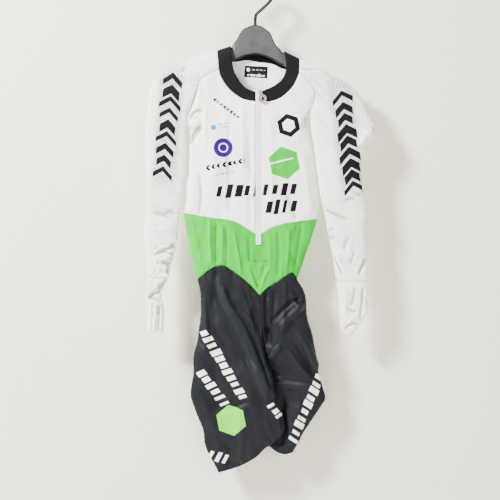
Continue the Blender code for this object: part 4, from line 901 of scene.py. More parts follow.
def tube(rings):
    """Closed tube through rings of points: each end ring is drawn together to its middle."""
    first, last = (np.broadcast_to(ring.mean(axis=0), ring.shape) for ring in (rings[0], rings[-1]))
    rings = np.concatenate((first[None], rings, last[None]))
    index = np.arange(rings[..., 0].size).reshape(rings.shape[:2])
    return rings.reshape(-1, 3), quads(np.hstack((index, index[:, :1])))


def vertex_map(mesh, name, uv):
    """UV map from one pair of values a vertex."""
    corner = np.empty(len(mesh.loops), dtype=np.int32)
    mesh.loops.foreach_get("vertex_index", corner)
    mesh.uv_layers.new(name=name).data.foreach_set("uv", uv[corner].astype(np.float32).ravel())


def vertex_value(mesh, name, values):
    """Float attribute from one value a vertex."""
    mesh.attributes.new(name, "FLOAT", "POINT").data.foreach_set("value", values.astype(np.float32))


def hollowness(height, flat):
    """Laplacian of the cloth's height: positive in a hollow, negative on a ridge."""
    u, v = arc_lengths(flat)
    step_u, step_v = np.maximum(np.gradient(u, axis=1), 0.2), np.maximum(np.gradient(v, axis=0), 0.2)
    bend = (np.gradient(np.gradient(height, axis=1) / step_u, axis=1) / step_u
            + np.gradient(np.gradient(height, axis=0) / step_v, axis=0) / step_v)
    bend[:2], bend[-2:], bend[:, :2], bend[:, -2:] = 0, 0, 0, 0
    return bend


def shell(name, grid, wall, flat, height=None):
    """Closed cloth shell on a grid: outer face, inner face moved in by the wall, rounded rim.

    The rim is a ring at half the wall that reaches the seam gap, while both faces stop half a
    wall before it. flat is the grid before creasing, from which the maps are taken: "cut" is the
    length across and down the cloth, "front" is x and z in the front view.
    """
    rows, cols = grid.shape[:2]
    n = normals_of(grid, OUTWARD[facing_of(name)])
    border = ring_index(rows, cols)
    points, inward = grid.reshape(-1, 3).copy(), n.reshape(-1, 3)
    inner_grid = np.clip(np.arange(rows), 1, rows - 2)[:, None], np.clip(np.arange(cols), 1, cols - 2)[None]
    towards = (grid[inner_grid] - grid).reshape(-1, 3)[border]
    towards -= np.sum(towards * inward[border], axis=-1, keepdims=True) * inward[border]
    towards /= np.maximum(np.linalg.norm(towards, axis=-1, keepdims=True), 1e-6)
    rim = points[border] + towards * SEAM_GAP / 2 - inward[border] * wall / 2
    points[border] += towards * (SEAM_GAP / 2 + wall * RIM_SHARE)
    inner = points - inward * wall
    count = rows * cols
    index = np.arange(count).reshape(rows, cols)
    rim_index = np.arange(2 * count, 2 * count + len(border))
    outer_faces = quads(index)
    parts = [outer_faces, quads(index + count)[:, ::-1]]
    after, after_rim = np.roll(border, -1), np.roll(rim_index, -1)
    parts.append(np.stack((border, rim_index, after_rim, after), axis=-1))
    parts.append(np.stack((rim_index, border + count, after + count, after_rim), axis=-1))
    middle = (rows // 2, cols // 2)
    normal = np.cross(grid[middle[0], middle[1] + 1] - grid[middle],
                      grid[middle[0] + 1, middle[1]] - grid[middle])
    obj = write_mesh(name, np.vstack((points, inner, rim)), np.vstack(parts),
                     turn=bool(np.dot(normal, n[middle]) < 0))
    mesh = obj.data
    inside = np.zeros(len(mesh.polygons), dtype=np.int32)
    inside[len(outer_faces):2 * len(outer_faces)] = 1
    mesh.polygons.foreach_set("material_index", inside)
    u, v = arc_lengths(flat)
    u = u - u[:, cols // 2][:, None]
    start, end, top, bottom = edge_distances(flat)
    tiled = {"cut": np.stack((u, v), axis=-1) * MM, "front": flat[..., (0, 2)] * MM}
    for label, values in tiled.items():
        values = values.reshape(-1, 2)
        vertex_map(mesh, label, np.vstack((values, values, values[border])))
    side, ends = np.minimum(start, end).ravel() * MM, np.minimum(top, bottom).ravel() * MM
    # lift and bend drive the shade and highlight painted on the creases
    lift = np.zeros((rows, cols)) if height is None else height
    bend = hollowness(lift, flat)
    for label, values in (("seam_side", side), ("seam_end", ends), ("lift", lift.ravel()),
                          ("bend", bend.ravel()), ("shown", front_share(name, grid.shape[:2]).ravel())):
        vertex_value(mesh, label, np.concatenate((values, values, values[border])))
    return obj


# %% Crease the panels and build the shells
panels = {}
creased = {}
for name, grid in grids.items():
    # The second height drives the shade and highlight painted on the creases
    height, painted_shade_relief = relief(name, grid)
    height = height + seam_relief(name, grid) * (0.5 if name == "collar" else 1.0)
    creased[name] = grid + normals_of(grid, OUTWARD[facing_of(name)]) * height[..., None]
    panels[name] = shell(name + "_cloth", creased[name], COLLAR_WALL if name == "collar" else WALL, grid,
                         painted_shade_relief)
    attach(panels[name], "suit")
    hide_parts(name)

# A gusset closes the fork between the legs; its sides are hidden inside them
GUSSET_HALF, GUSSET_X, GUSSET_LEAN = 12, 22, 11
GUSSET_TOP_Z, GUSSET_FOOT_Z = -738, -898
across, low = np.meshgrid(np.linspace(-GUSSET_HALF, GUSSET_HALF, 16),
                          np.linspace(GUSSET_TOP_Z, GUSSET_FOOT_Z, 60))
across = across + GUSSET_X - GUSSET_LEAN * smooth((low - LEG_PART_Z) / 110)
gusset_grid = np.stack((across, 1.5 + 2.0 * np.cos((across - GUSSET_X) / 9), low), axis=-1)
PINNED["gusset"] = ""
panels["gusset"] = shell("gusset_cloth", gusset_grid, WALL, gusset_grid)
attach(panels["gusset"], "suit")
print("triangles in the panels:", sum(2 * len(obj.data.polygons) for obj in panels.values()))

# %% [markdown]
# ## Zip
#
# The zip is white: a woven tape on either side, a fine coil of teeth between them, a slider at
# the top and a short tab over the foot. The tape lies between the two front panels at the depth
# of the body. The teeth are one small block repeated by shifting its points.

# %% Tape, tab and coil
ZIP_TOP_Z, ZIP_TAB_Z, TAB_RISE = -250.0, -599.0, 1.9
COIL_TOP_Z, COIL_FOOT_Z, COIL_PITCH = -261.0, -566.0, 1.5
TOOTH = (2.7, 0.9, 0.85)        # across, depth, along


def zip_depth(z):
    """Y of the tape's front: the body's depth, leaning back to the collar and out at the tab."""
    on_body = np.where(z > NECK_FOOT_Z, COLLAR_FRONT_Y - (ZIP_TOP_Z - z) / 22, -depth(z, "front"))
    return on_body - TAB_RISE * smooth((-567 - z) / 6)


def tape_grid(rows, cols):
    """Flat strip between the front panels, with a shallow channel under the coil."""
    z = np.linspace(ZIP_TOP_Z, ZIP_TAB_Z, rows)[:, None]
    x = np.linspace(ZIP_X["right"] + SEAM_GAP / 2, ZIP_X["left"] - SEAM_GAP / 2, cols)[None]
    channel = 0.5 * np.exp(-((x - ZIP_CENTRE) / 1.6) ** 2) * smooth((z + 575) / 8)
    return np.stack(np.broadcast_arrays(x, zip_depth(z) + channel, z), axis=-1)


def repeated(block, faces, shifts):
    """One small mesh copied to every shift: points and faces as whole arrays."""
    points = (block[None] + shifts[:, None]).reshape(-1, 3)
    step = np.arange(len(shifts))[:, None, None] * len(block)
    return points, (faces[None] + step).reshape(-1, faces.shape[1])


PINNED["zip"] = ""
tape = tape_grid(220, 15)
panels["zip"] = shell("zip_tape", tape, TAPE_WALL, tape)
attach(panels["zip"], "suit")
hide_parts("zip")

BLOCK = np.array([(x, y, z) for x in (-0.5, 0.5) for y in (-0.5, 0.5) for z in (-0.5, 0.5)])
BLOCK_FACES = np.array(((0, 1, 3, 2), (4, 6, 7, 5), (0, 4, 5, 1), (2, 3, 7, 6), (0, 2, 6, 4), (1, 5, 7, 3)))
z = np.arange(COIL_TOP_Z, COIL_FOOT_Z, -COIL_PITCH)
side = np.where(np.arange(len(z)) % 2 == 0, -1.0, 1.0)
shifts = np.column_stack((ZIP_CENTRE + side * 0.5, zip_depth(z) + 0.1, z))
points, faces = repeated(BLOCK * np.array(TOOTH), BLOCK_FACES, shifts)
coil = write_mesh("zip_coil", points, faces)
coil.data.polygons.foreach_set("use_smooth", np.zeros(len(coil.data.polygons), dtype=bool))
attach(coil, "suit")
print("teeth:", len(z))

# %% [markdown]
# ## Slider and pull
#
# The slider stands at the top of the zip and the pull hangs from its pin, tilted a little. The
# pull is a turned ring with a rolled edge on a short flat stalk that ends in an eye. It is its
# own body and swings on the pin.

# %% Slider and pull
PIN = np.array((9.0, -23.6, -253.0))
PIN_TILT = np.radians(-18.0)
PULL_RADIUS, PULL_HOLE, PULL_THICK, PULL_DROP = 9.6, 3.6, 2.2, 14.2
EYE_RADIUS, EYE_HOLE, EYE_LENGTH, STALK_WIDTH = 1.9, 1.1, 4.2, 3.5


def to_pin_frame(points):
    """Turn about Y by the pin's tilt and move to the pin: X runs along the pin, -Z down the pull."""
    c, s = np.cos(PIN_TILT), np.sin(PIN_TILT)
    turn = np.array(((c, 0, s), (0, 1, 0), (-s, 0, c)))
    return points @ turn.T + PIN


def turned(profile_points, sides):
    """Closed profile (radius, height) turned once round the Y axis: points and quads."""
    angle = np.linspace(0, 2 * np.pi, sides, endpoint=False)[:, None]
    r, h = np.asarray(profile_points, float).T
    points = np.stack((r * np.cos(angle), np.broadcast_to(h, (sides, len(h))), r * np.sin(angle)), axis=-1)
    i, j = np.meshgrid(np.arange(sides), np.arange(len(h)), indexing="ij")
    i2, j2 = (i + 1) % sides, (j + 1) % len(h)
    faces = np.stack((i * len(h) + j, i2 * len(h) + j, i2 * len(h) + j2, i * len(h) + j2), axis=-1)
    return points.reshape(-1, 3), faces.reshape(-1, 4)


def joined(parts):
    """Several (points, faces) pairs as one."""
    start = np.cumsum([0] + [len(points) for points, _ in parts[:-1]])
    return (np.vstack([points for points, _ in parts]),
            np.vstack([faces + first for (_, faces), first in zip(parts, start)]))


def ring_section(inner, outer, half, rolled):
    """Section of the ring: a rolled outer edge, a dished face and a chamfered hole."""
    t = np.linspace(-np.pi / 2, np.pi / 2, 9)
    edge = np.column_stack((outer - rolled + rolled * np.cos(t), half * np.sin(t)))
    dish = [(outer - 2.4 * rolled, half * 0.72), (inner + 1.6, half * 0.62), (inner + 0.8, half * 0.86),
            (inner + 0.15, half * 0.7)]
    under = [(r, -h) for r, h in dish[::-1]]
    return np.vstack((edge, dish, under))


half = PULL_THICK / 2
ring_points, ring_faces = turned(ring_section(PULL_HOLE, PULL_RADIUS, half, 1.1), 72)
ring_points = ring_points + np.array((0, 0, -PULL_DROP))
eye_section = [(EYE_HOLE, -EYE_LENGTH / 2), (EYE_RADIUS - 0.25, -EYE_LENGTH / 2),
               (EYE_RADIUS, -EYE_LENGTH / 2 + 0.25), (EYE_RADIUS, EYE_LENGTH / 2 - 0.25),
               (EYE_RADIUS - 0.25, EYE_LENGTH / 2), (EYE_HOLE, EYE_LENGTH / 2)]
eye_points, eye_faces = turned(eye_section, 32)
eye_points = eye_points[:, (1, 0, 2)]
down = np.linspace(0, 1, 9)[:, None]
stalk_angle = np.linspace(0, 2 * np.pi, 24, endpoint=False)[None]
waisted = STALK_WIDTH / 2 * (1 - 0.22 * np.sin(np.pi * down))
cos, sin = np.cos(stalk_angle), np.sin(stalk_angle)
stalk = np.stack(np.broadcast_arrays(waisted * np.sign(cos) * np.abs(cos) ** 0.5,
                                     half * 0.85 * np.sign(sin) * np.abs(sin) ** 0.7,
                                     -1.35 - 4.4 * down), axis=-1)
points, faces = joined([(ring_points, ring_faces), (eye_points, eye_faces), tube(stalk)])
pull = write_mesh("pull_ring", to_pin_frame(points), faces)
weld(pull)
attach(pull, "pull")
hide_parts("zip_pull")


def rounded_block(size, centre, power, steps=24):
    """Superellipsoid-like block: a cylinder of superellipse section with rounded ends."""
    a = np.linspace(0, 2 * np.pi, steps * 2, endpoint=False)[None]
    b = np.linspace(-np.pi / 2, np.pi / 2, steps)[:, None]
    e = 2 / power
    ca, sa, cb, sb = np.cos(a), np.sin(a), np.cos(b), np.sin(b)
    points = np.stack(np.broadcast_arrays(
        np.sign(ca) * np.abs(ca) ** e * np.abs(cb) ** e * size[0] / 2,
        np.sign(sb) * np.abs(sb) ** e * size[1] / 2,
        np.sign(sa) * np.abs(sa) ** e * np.abs(cb) ** e * size[2] / 2), axis=-1)
    index = np.arange(points[..., 0].size).reshape(points.shape[:2])
    return points.reshape(-1, 3) + np.array(centre), quads(np.hstack((index, index[:, :1])))


SLIDER_SIZE, SLIDER_FACE = (9.0, 3.0, 12.0), 2.3
slider_y = SLIDER_FACE + SLIDER_SIZE[1] / 2
angle = np.linspace(0, 2 * np.pi, 24, endpoint=False)
pin_x = np.linspace(-3.3, 3.3, 2)
pin_grid = np.stack((np.broadcast_to(pin_x[:, None], (2, 24)), 0.8 * np.cos(angle) * np.ones((2, 1)),
                     0.8 * np.sin(angle) * np.ones((2, 1))), axis=-1)
parts = [rounded_block((SLIDER_SIZE[0], 1.1, SLIDER_SIZE[2]), (0, SLIDER_FACE + 0.55, 1.0), 5),
         rounded_block((SLIDER_SIZE[0] * 0.92, 1.1, SLIDER_SIZE[2] * 0.96), (0, SLIDER_FACE + 2.45, 1.0), 5),
         rounded_block((3.0, 1.6, 9.0), (0, slider_y, 1.6), 3),
         rounded_block((1.5, 4.0, 3.4), (-3.3, 0.8, 0), 3.2, 16),
         rounded_block((1.5, 4.0, 3.4), (3.3, 0.8, 0), 3.2, 16),
         tube(pin_grid)]
points, faces = joined(parts)
slider = write_mesh("slider_body", to_pin_frame(points), faces)
weld(slider)
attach(slider, "suit")
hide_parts("zip_slider")

# %% [markdown]
# ## Hanger
#
# The hanger is one moulding: a tall hub with a softly rounded section and two arms that run out
# under the shoulders of the suit. Its hook is bent from round wire. Both are a section carried
# along a path: upright ovals along the arms, and circles along the line of the hook.

# %% Hub and arms
# Columns x, top z, bottom z, half thickness
HUB = ((-82, -153.0, -186, 3.0), (-70, -149.8, -182.5, 3.2), (-61, -147.0, -179, 3.6),
       (-57, -144.0, -177.5, 3.8), (-53, -136.5, -176.3, 4.8), (-49, -131.0, -175, 6.4),
       (-44, -124, -172.5, 7.4), (-38, -112.5, -170, 8), (-29, -102.5, -166.5, 8),
       (-17, -97, -163.5, 8), (-8, -94, -162, 8), (3, -94, -162, 8),
       (14, -98, -164.5, 8), (25, -106, -168.5, 8), (33, -114, -172, 8),
       (38, -126.5, -174.5, 7.6), (45, -140, -178.5, 6.8), (54, -149.0, -183.5, 4.8),
       (60, -157.4, -186.5, 3.6), (74, -164.0, -193, 3.2), (88, -169.6, -199, 3.0))
ARM_DROP, ARM_HEIGHT_ROOT, ARM_HEIGHT_TIP = 3.0, 30.0, 11.0
ARM_HALF, ARM_HALF_TIP, ARM_TIP_X = 3.0, 2.2, 211.0
HANGER_SIDES, HANGER_STEPS = 96, 300
RIM_WIDTH, HUB_RECESS = 2.9, 0.8
HUB_CENTRE, HUB_HALF, RIM_SHADE_HALF = 0.2, 52.0, 62.0


def arm_rows(side, sign):
    """Rows of an arm: top and bottom just under the ridge of the sleeve, thinner to the tip."""
    ridge = grids["sleeve_" + side][:CAP_ROWS + 1, HALF_RING - 1]
    x = np.linspace(abs(ridge[0, 0]), ARM_TIP_X, 12)
    z = np.interp(x, np.abs(ridge[:, 0]), ridge[:, 2])
    pitch = np.abs(np.gradient(z, x))
    t = (x - x[0]) / (ARM_TIP_X - x[0])
    upper = z - ARM_DROP * np.hypot(1, pitch) - 0.6
    height = ARM_HEIGHT_ROOT + (ARM_HEIGHT_TIP - ARM_HEIGHT_ROOT) * t
    half = ARM_HALF + (ARM_HALF_TIP - ARM_HALF) * t
    rows = np.column_stack((sign * x, upper, upper - height, half))
    tip = rows[-1] + np.array((sign * 3.0, -4.5, 1.5, -half[-1] * 0.4))
    return np.vstack((rows, tip))


stations = np.vstack((arm_rows("right", -1)[::-1], HUB, arm_rows("left", 1)))
order = np.linspace(0, len(stations) - 1, HANGER_STEPS)
rows = curve(stations, order, by_row=True)
angle = np.linspace(0, 2 * np.pi, HANGER_SIDES, endpoint=False)
x, top_z, low_z, half = (column[:, None] for column in rows.T)
middle, tall = (top_z + low_z) / 2, (top_z - low_z) / 2
rounding = np.abs(np.sin(angle)) ** 0.8 * np.sign(np.sin(angle))
flat_side = np.sign(np.cos(angle)) * np.abs(np.cos(angle)) ** 0.45
on_hub = smooth((tall - 14) / 8) * smooth((HUB_HALF - np.abs(x - HUB_CENTRE)) / 8)
pitch = np.where(rounding > 0, np.gradient(top_z, axis=0), np.gradient(low_z, axis=0))
pitch = pitch / np.gradient(x, axis=0)
from_edge = tall * (1 - np.abs(rounding)) / np.hypot(1, pitch)
recess = HUB_RECESS * on_hub * smooth((from_edge - RIM_WIDTH) / 1.2)
section = np.stack(np.broadcast_arrays(x, (half - recess) * flat_side, middle + tall * rounding), axis=-1)
points, faces = tube(section)
hanger = write_mesh("hanger_moulding", points, faces, turn=True)
# Mask for shade painted along the edge of the hub, where its rounded section turns away
rim = (np.abs(x - HUB_CENTRE) < RIM_SHADE_HALF) * (1 - smooth((from_edge - RIM_WIDTH * 0.8) / 1.4))
rim = np.broadcast_to(rim, section.shape[:2])
vertex_value(hanger.data, "rim", np.pad(rim, ((1, 1), (0, 0))).ravel())
weld(hanger)
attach(hanger, "suit")
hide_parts("hanger_body")

# %% Hook
WIRE_RADIUS, HOOK_INNER_RADIUS = 3.5, 30.0
STEM_X, STEM_FOOT_Z, STEM_TOP_Z = -2.8, -93.7, -70.0
bend = HOOK_INNER_RADIUS + WIRE_RADIUS
crook = np.radians(np.linspace(-14, 181, 84))
crook_line = np.column_stack((bend * np.cos(crook), bend * np.sin(crook) - HOOK_INNER_RADIUS))
foot, head = np.array((STEM_X, STEM_TOP_Z)), crook_line[0]
t = np.linspace(0, 1, 24)[1:-1, None]
neck_line = foot + (head - foot) * t + np.array((0.6, -0.6)) * np.sin(np.pi * t)
stem = np.column_stack((np.full(12, STEM_X), np.linspace(STEM_FOOT_Z, STEM_TOP_Z - 4, 12)))
path = np.vstack((stem, neck_line, crook_line))
for _ in range(6):
    path[1:-1] = (path[:-2] + 2 * path[1:-1] + path[2:]) / 4
radius = np.full(len(path), WIRE_RADIUS)
tangent = np.gradient(path, axis=0)
tangent /= np.linalg.norm(tangent, axis=1, keepdims=True)
cap_turn = np.linspace(0.15, 1, 6)[::-1] * np.pi / 2
cap = path[-1] + tangent[-1] * (np.cos(cap_turn) * WIRE_RADIUS)[:, None]
path = np.vstack((path, cap))
radius = np.r_[radius, np.sin(cap_turn) * WIRE_RADIUS]
tangent = np.vstack((tangent, np.repeat(tangent[-1:], len(cap), axis=0)))
across = np.column_stack((-tangent[:, 1], tangent[:, 0]))
angle = np.linspace(0, 2 * np.pi, 28, endpoint=False)[None]
wire = np.stack((path[:, :1] + across[:, :1] * radius[:, None] * np.cos(angle),
                 radius[:, None] * np.sin(angle),
                 path[:, 1:] + across[:, 1:] * radius[:, None] * np.cos(angle)), axis=-1)
points, faces = tube(wire)
hook = write_mesh("hook_wire", points, faces, turn=True)
weld(hook)
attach(hook, "suit")
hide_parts("hanger_hook")

# %% [markdown]
# ## Neck label
#
# A dark printed patch is bonded to the inside of the back, just below the collar. It is a small
# sheet that takes its depth from the nearest points of the back panel.

# %% Neck label
LABEL_CENTRE, LABEL_SIZE, LABEL_TURN = np.array((-1.0, -199.0)), (54.0, 27.0), np.radians(-3.0)
LABEL_WALL, LABEL_COLS, LABEL_ROWS = 0.6, 36, 20


def depth_under(xz, surface):
    """Y of a surface at points x z: mean of its four nearest points, weighted by 1/distance."""
    flat = surface.reshape(-1, 3)
    away = np.linalg.norm(xz[:, None] - flat[None][..., (0, 2)], axis=-1)
    near = np.argpartition(away, 4, axis=1)[:, :4]
    weight = 1 / (np.take_along_axis(away, near, 1) + 0.05)
    return np.sum(flat[near, 1] * weight, axis=1) / weight.sum(axis=1)


a, b = np.meshgrid(np.linspace(-0.5, 0.5, LABEL_COLS), np.linspace(0.5, -0.5, LABEL_ROWS))
turn = np.array(((np.cos(LABEL_TURN), -np.sin(LABEL_TURN)), (np.sin(LABEL_TURN), np.cos(LABEL_TURN))))
xz = LABEL_CENTRE + (np.stack((a, b), axis=-1).reshape(-1, 2) * np.array(LABEL_SIZE)) @ turn.T
y = depth_under(xz, creased["back"]) - WALL - SEAM_GAP
label = np.column_stack((xz[:, 0], y, xz[:, 1])).reshape(LABEL_ROWS, LABEL_COLS, 3)
PINNED["neck_label"] = ""
panels["neck_label"] = shell("label_patch", label, LABEL_WALL, label)
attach(panels["neck_label"], "suit")
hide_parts("neck_label")

# %% [markdown]
# ## Finishes
#
# Each finish is a Principled shader in its own material. What several of them share is a node
# group that puts out a mask or a height: knit loops, thread along the seams, uneven tone, the shade
# painted into the hollows of the creases with the highlight painted on their ridges, and the printed
# shapes. The prints are plain shapes: slanted blocks and chevrons in rows, a disc and hexagons. They
# read the "front" map, so they stay on the cloth where it creases.

# %% Node helpers


def wire_up(tree, socket, value):
    """Link a socket to another one, or set its value."""
    if isinstance(value, bpy.types.NodeSocket):
        tree.links.new(value, socket)
    else:
        socket.default_value = value


def calc(tree, operation, *values, clamp=False):
    """Math node."""
    node = tree.nodes.new("ShaderNodeMath")
    node.operation = operation
    node.use_clamp = clamp
    for socket, value in zip(node.inputs, values):
        wire_up(tree, socket, value)
    return node.outputs[0]


def step(tree, value, low, high):
    """Smooth step of a value from 0 at low to 1 at high."""
    node = tree.nodes.new("ShaderNodeMapRange")
    node.interpolation_type = "SMOOTHSTEP"
    for label, amount in (("Value", value), ("From Min", low), ("From Max", high)):
        wire_up(tree, node.inputs[label], amount)
    return node.outputs["Result"]


def mix_colour(tree, factor, first, second):
    """Mix of two colours, each a tuple or a socket."""
    node = tree.nodes.new("ShaderNodeMix")
    node.data_type = "RGBA"
    wire_up(tree, node.inputs["Factor"], factor)
    for socket, colour in ((node.inputs[6], first), (node.inputs[7], second)):
        wire_up(tree, socket, colour if isinstance(colour, bpy.types.NodeSocket) else (*colour, 1.0))
    return node.outputs[2]


def noise(tree, vector, scale, detail):
    """Noise texture on a vector."""
    node = tree.nodes.new("ShaderNodeTexNoise")
    for label, value in (("Vector", vector), ("Scale", scale), ("Detail", detail)):
        wire_up(tree, node.inputs[label], value)
    return node.outputs["Fac"]


def weighted(tree, first, first_share, second, second_share, operation="ADD"):
    """Sum of two values, each times its share, or their difference."""
    return calc(tree, operation, calc(tree, "MULTIPLY", first, first_share),
                calc(tree, "MULTIPLY", second, second_share))


def separated(tree, vector):
    """The three parts of a vector."""
    node = tree.nodes.new("ShaderNodeSeparateXYZ")
    tree.links.new(vector, node.inputs[0])
    return node.outputs[:]


def attribute(tree, name):
    """Value of a mesh attribute."""
    node = tree.nodes.new("ShaderNodeAttribute")
    node.attribute_name = name
    return node.outputs["Fac"]


def uv_map(tree, name):
    """Coordinates of a UV map."""
    node = tree.nodes.new("ShaderNodeUVMap")
    node.uv_map = name
    return node.outputs[0]


def bump_surface(tree, shader, height, strength, distance):
    """Bump the surface of a shader by a height."""
    node = tree.nodes.new("ShaderNodeBump")
    node.inputs["Strength"].default_value = strength
    node.inputs["Distance"].default_value = distance
    tree.links.new(height, node.inputs["Height"])
    tree.links.new(node.outputs[0], shader.inputs["Normal"])


def new_group(name, inputs, outputs):
    """Node group with its sockets; returns the tree, the input sockets and the output node."""
    tree = bpy.data.node_groups.new(name, "ShaderNodeTree")
    for label, kind, value in inputs:
        socket = tree.interface.new_socket(label, in_out="INPUT", socket_type="NodeSocket" + kind)
        if value is not None:
            socket.default_value = value
    for label in outputs:
        tree.interface.new_socket(label, in_out="OUTPUT", socket_type="NodeSocketFloat")
    return tree, tree.nodes.new("NodeGroupInput").outputs, tree.nodes.new("NodeGroupOutput").inputs


def place_group(tree, group, **values):
    """Group node with its inputs set or linked; underscores in the names stand for spaces."""
    node = tree.nodes.new("ShaderNodeGroup")
    node.node_tree = group
    for label, value in values.items():
        wire_up(tree, node.inputs[label.replace("_", " ")], value)
    return node.outputs


# %% Knit, tone and thread
LOOP_SQUEEZE = 0.8              # loops a row, for each loop across
STITCH_LENGTH, THREAD_HALF, THREAD_ROWS = 0.0026, 0.0004, (0.0022, 0.0046)
knit, given, out = new_group("knit_loops", (("Cut", "Vector", None), ("Loop Width", "Float", 0.001),
                                           ("Rib Width", "Float", 0.004), ("Rib", "Float", 0.0)),
                             ("Height", "Tone"))
across, along, _ = separated(knit, given["Cut"])
loop_u, loop_v, rib_phase = (
    calc(knit, "MULTIPLY", calc(knit, "DIVIDE", length, given[width]), 2 * np.pi * turns)
    for length, width, turns in ((across, "Loop Width", 1.0), (along, "Loop Width", LOOP_SQUEEZE),
                                 (along, "Rib Width", 1.0)))
loops = calc(knit, "MULTIPLY", calc(knit, "SINE", loop_u), calc(knit, "SINE", loop_v))
wobble = calc(knit, "MULTIPLY", noise(knit, given["Cut"], 90.0, 1.0), 9.0)
ribs = calc(knit, "MULTIPLY", calc(knit, "SINE", calc(knit, "ADD", rib_phase, wobble)), given["Rib"])
knit.links.new(calc(knit, "ADD", calc(knit, "MULTIPLY", loops, 0.3), ribs), out["Height"])
knit.links.new(calc(knit, "MULTIPLY_ADD", ribs, 0.5, 0.5, clamp=True), out["Tone"])

tone, given, out = new_group("uneven_tone", (("Place", "Vector", None), ("Scale", "Float", 9.0)),
                             ("Amount",))
fine = noise(tone, given["Place"], given["Scale"], 3.0)
tone.links.new(step(tone, fine, 0.35, 0.7), out["Amount"])

thread, given, out = new_group("seam_thread", (("Cut", "Vector", None), ("Side", "Float", None),
                                              ("End", "Float", None)), ("Mask",))
across, along, _ = separated(thread, given["Cut"])
total = None
for distance, length in ((given["Side"], along), (given["End"], across)):
    turns = calc(thread, "MULTIPLY", length, 2 * np.pi / STITCH_LENGTH)
    dash = step(thread, calc(thread, "SINE", turns), -0.6, -0.3)
    for row in THREAD_ROWS:
        off = calc(thread, "ABSOLUTE", calc(thread, "SUBTRACT", distance, row))
        line = calc(thread, "SUBTRACT", 1.0, step(thread, off, THREAD_HALF * 0.5, THREAD_HALF * 1.3))
        mark = calc(thread, "MULTIPLY", line, dash)
        total = mark if total is None else calc(thread, "MAXIMUM", total, mark)
thread.links.new(total, out["Mask"])

# Masks for painted light on the creases: Low paints shade into their hollows, High paints a highlight onto
# their ridges.
folds, given, out = new_group("crease_painted_shade", (("Lift", "Float", 0.0), ("Bend", "Float", 0.0),
                                            ("Gain", "Float", 1.0)), ("Low", "High"))
sunk = calc(folds, "MULTIPLY", weighted(folds, given["Bend"], 2.6, given["Lift"], -0.10), given["Gain"])
folds.links.new(step(folds, sunk, 0.05, 1.0), out["Low"])
raised = weighted(folds, given["Bend"], -2.0, given["Lift"], 0.09)
folds.links.new(step(folds, raised, 0.1, 1.0), out["High"])

# %% Printed shapes
PRINT_EDGE = (-0.0001, 0.0003)  # metres over which a print's edge blends
HEXAGON_TURN = 0.2


def offsets(tree, given):
    """Distance in x and in z from the place of a print."""
    x, z, _ = separated(tree, given["Front"])
    return calc(tree, "SUBTRACT", x, given["X"]), calc(tree, "SUBTRACT", z, given["Z"])


PRINT_PLACE = (("Front", "Vector", None), ("X", "Float", 0.0), ("Z", "Float", 0.0))
blocks, given, out = new_group(
    "print_blocks", PRINT_PLACE + (
        ("Turn", "Float", 0.0), ("Length", "Float", 0.1), ("Height", "Float", 0.01),
        ("Pitch", "Float", 0.01), ("Lean", "Float", 0.3), ("Chevron", "Float", 0.0),
        ("Seed", "Float", 0.0)), ("Mask",))
x_off, z_off = offsets(blocks, given)
cos_turn, sin_turn = calc(blocks, "COSINE", given["Turn"]), calc(blocks, "SINE", given["Turn"])
across = weighted(blocks, z_off, cos_turn, x_off, sin_turn, "SUBTRACT")
along = weighted(blocks, x_off, cos_turn, z_off, sin_turn)
bent = calc(blocks, "MULTIPLY", calc(blocks, "ABSOLUTE", across), given["Chevron"])
along = calc(blocks, "SUBTRACT", along, calc(blocks, "MULTIPLY_ADD", across, given["Lean"], bent))
count = calc(blocks, "DIVIDE", along, given["Pitch"])
which = calc(blocks, "ADD", calc(blocks, "FLOOR", count), given["Seed"])
random = blocks.nodes.new("ShaderNodeTexWhiteNoise")
random.noise_dimensions = "1D"
blocks.links.new(which, random.inputs["W"])
width = calc(blocks, "MULTIPLY_ADD", random.outputs["Value"], 0.42, 0.42)
half_width = calc(blocks, "MULTIPLY", width, 0.5)
from_middle = calc(blocks, "ABSOLUTE", calc(blocks, "SUBTRACT", calc(blocks, "FRACT", count), half_width))
sides = calc(blocks, "MULTIPLY", calc(blocks, "SUBTRACT", half_width, from_middle), given["Pitch"])
varied = calc(blocks, "FRACT", calc(blocks, "MULTIPLY", which, 0.618))
tall = calc(blocks, "MULTIPLY_ADD", varied, 0.35, 0.65)
half_height = calc(blocks, "MULTIPLY", calc(blocks, "MULTIPLY", given["Height"], 0.5), tall)
ends = calc(blocks, "SUBTRACT", half_height, calc(blocks, "ABSOLUTE", across))
reach = calc(blocks, "MINIMUM", along, calc(blocks, "SUBTRACT", given["Length"], along))
nearest = calc(blocks, "MINIMUM", calc(blocks, "MINIMUM", sides, ends), reach)
blocks.links.new(step(blocks, nearest, *PRINT_EDGE), out["Mask"])

hexagon, given, out = new_group(
    "print_hexagon", PRINT_PLACE + (("Radius", "Float", 0.02), ("Round", "Float", 0.0)), ("Mask",))
x_off, z_off = offsets(hexagon, given)
furthest = None
for side_turn in HEXAGON_TURN + np.arange(3) * np.pi / 3:
    reach = calc(hexagon, "ABSOLUTE", weighted(hexagon, x_off, float(np.cos(side_turn)),
                                               z_off, float(np.sin(side_turn))))
    furthest = reach if furthest is None else calc(hexagon, "MAXIMUM", furthest, reach)
distance = calc(hexagon, "SQRT", weighted(hexagon, x_off, x_off, z_off, z_off))
blend = weighted(hexagon, distance, given["Round"], furthest, calc(hexagon, "SUBTRACT", 1.0, given["Round"]))
hexagon.links.new(step(hexagon, calc(hexagon, "SUBTRACT", given["Radius"], blend), *PRINT_EDGE), out["Mask"])

# %% [markdown]
# The tables below place every print by its real size. A row of blocks starts at x, z, runs at
# its turn and has blocks of uneven width and height; a disc is a hexagon made fully round.

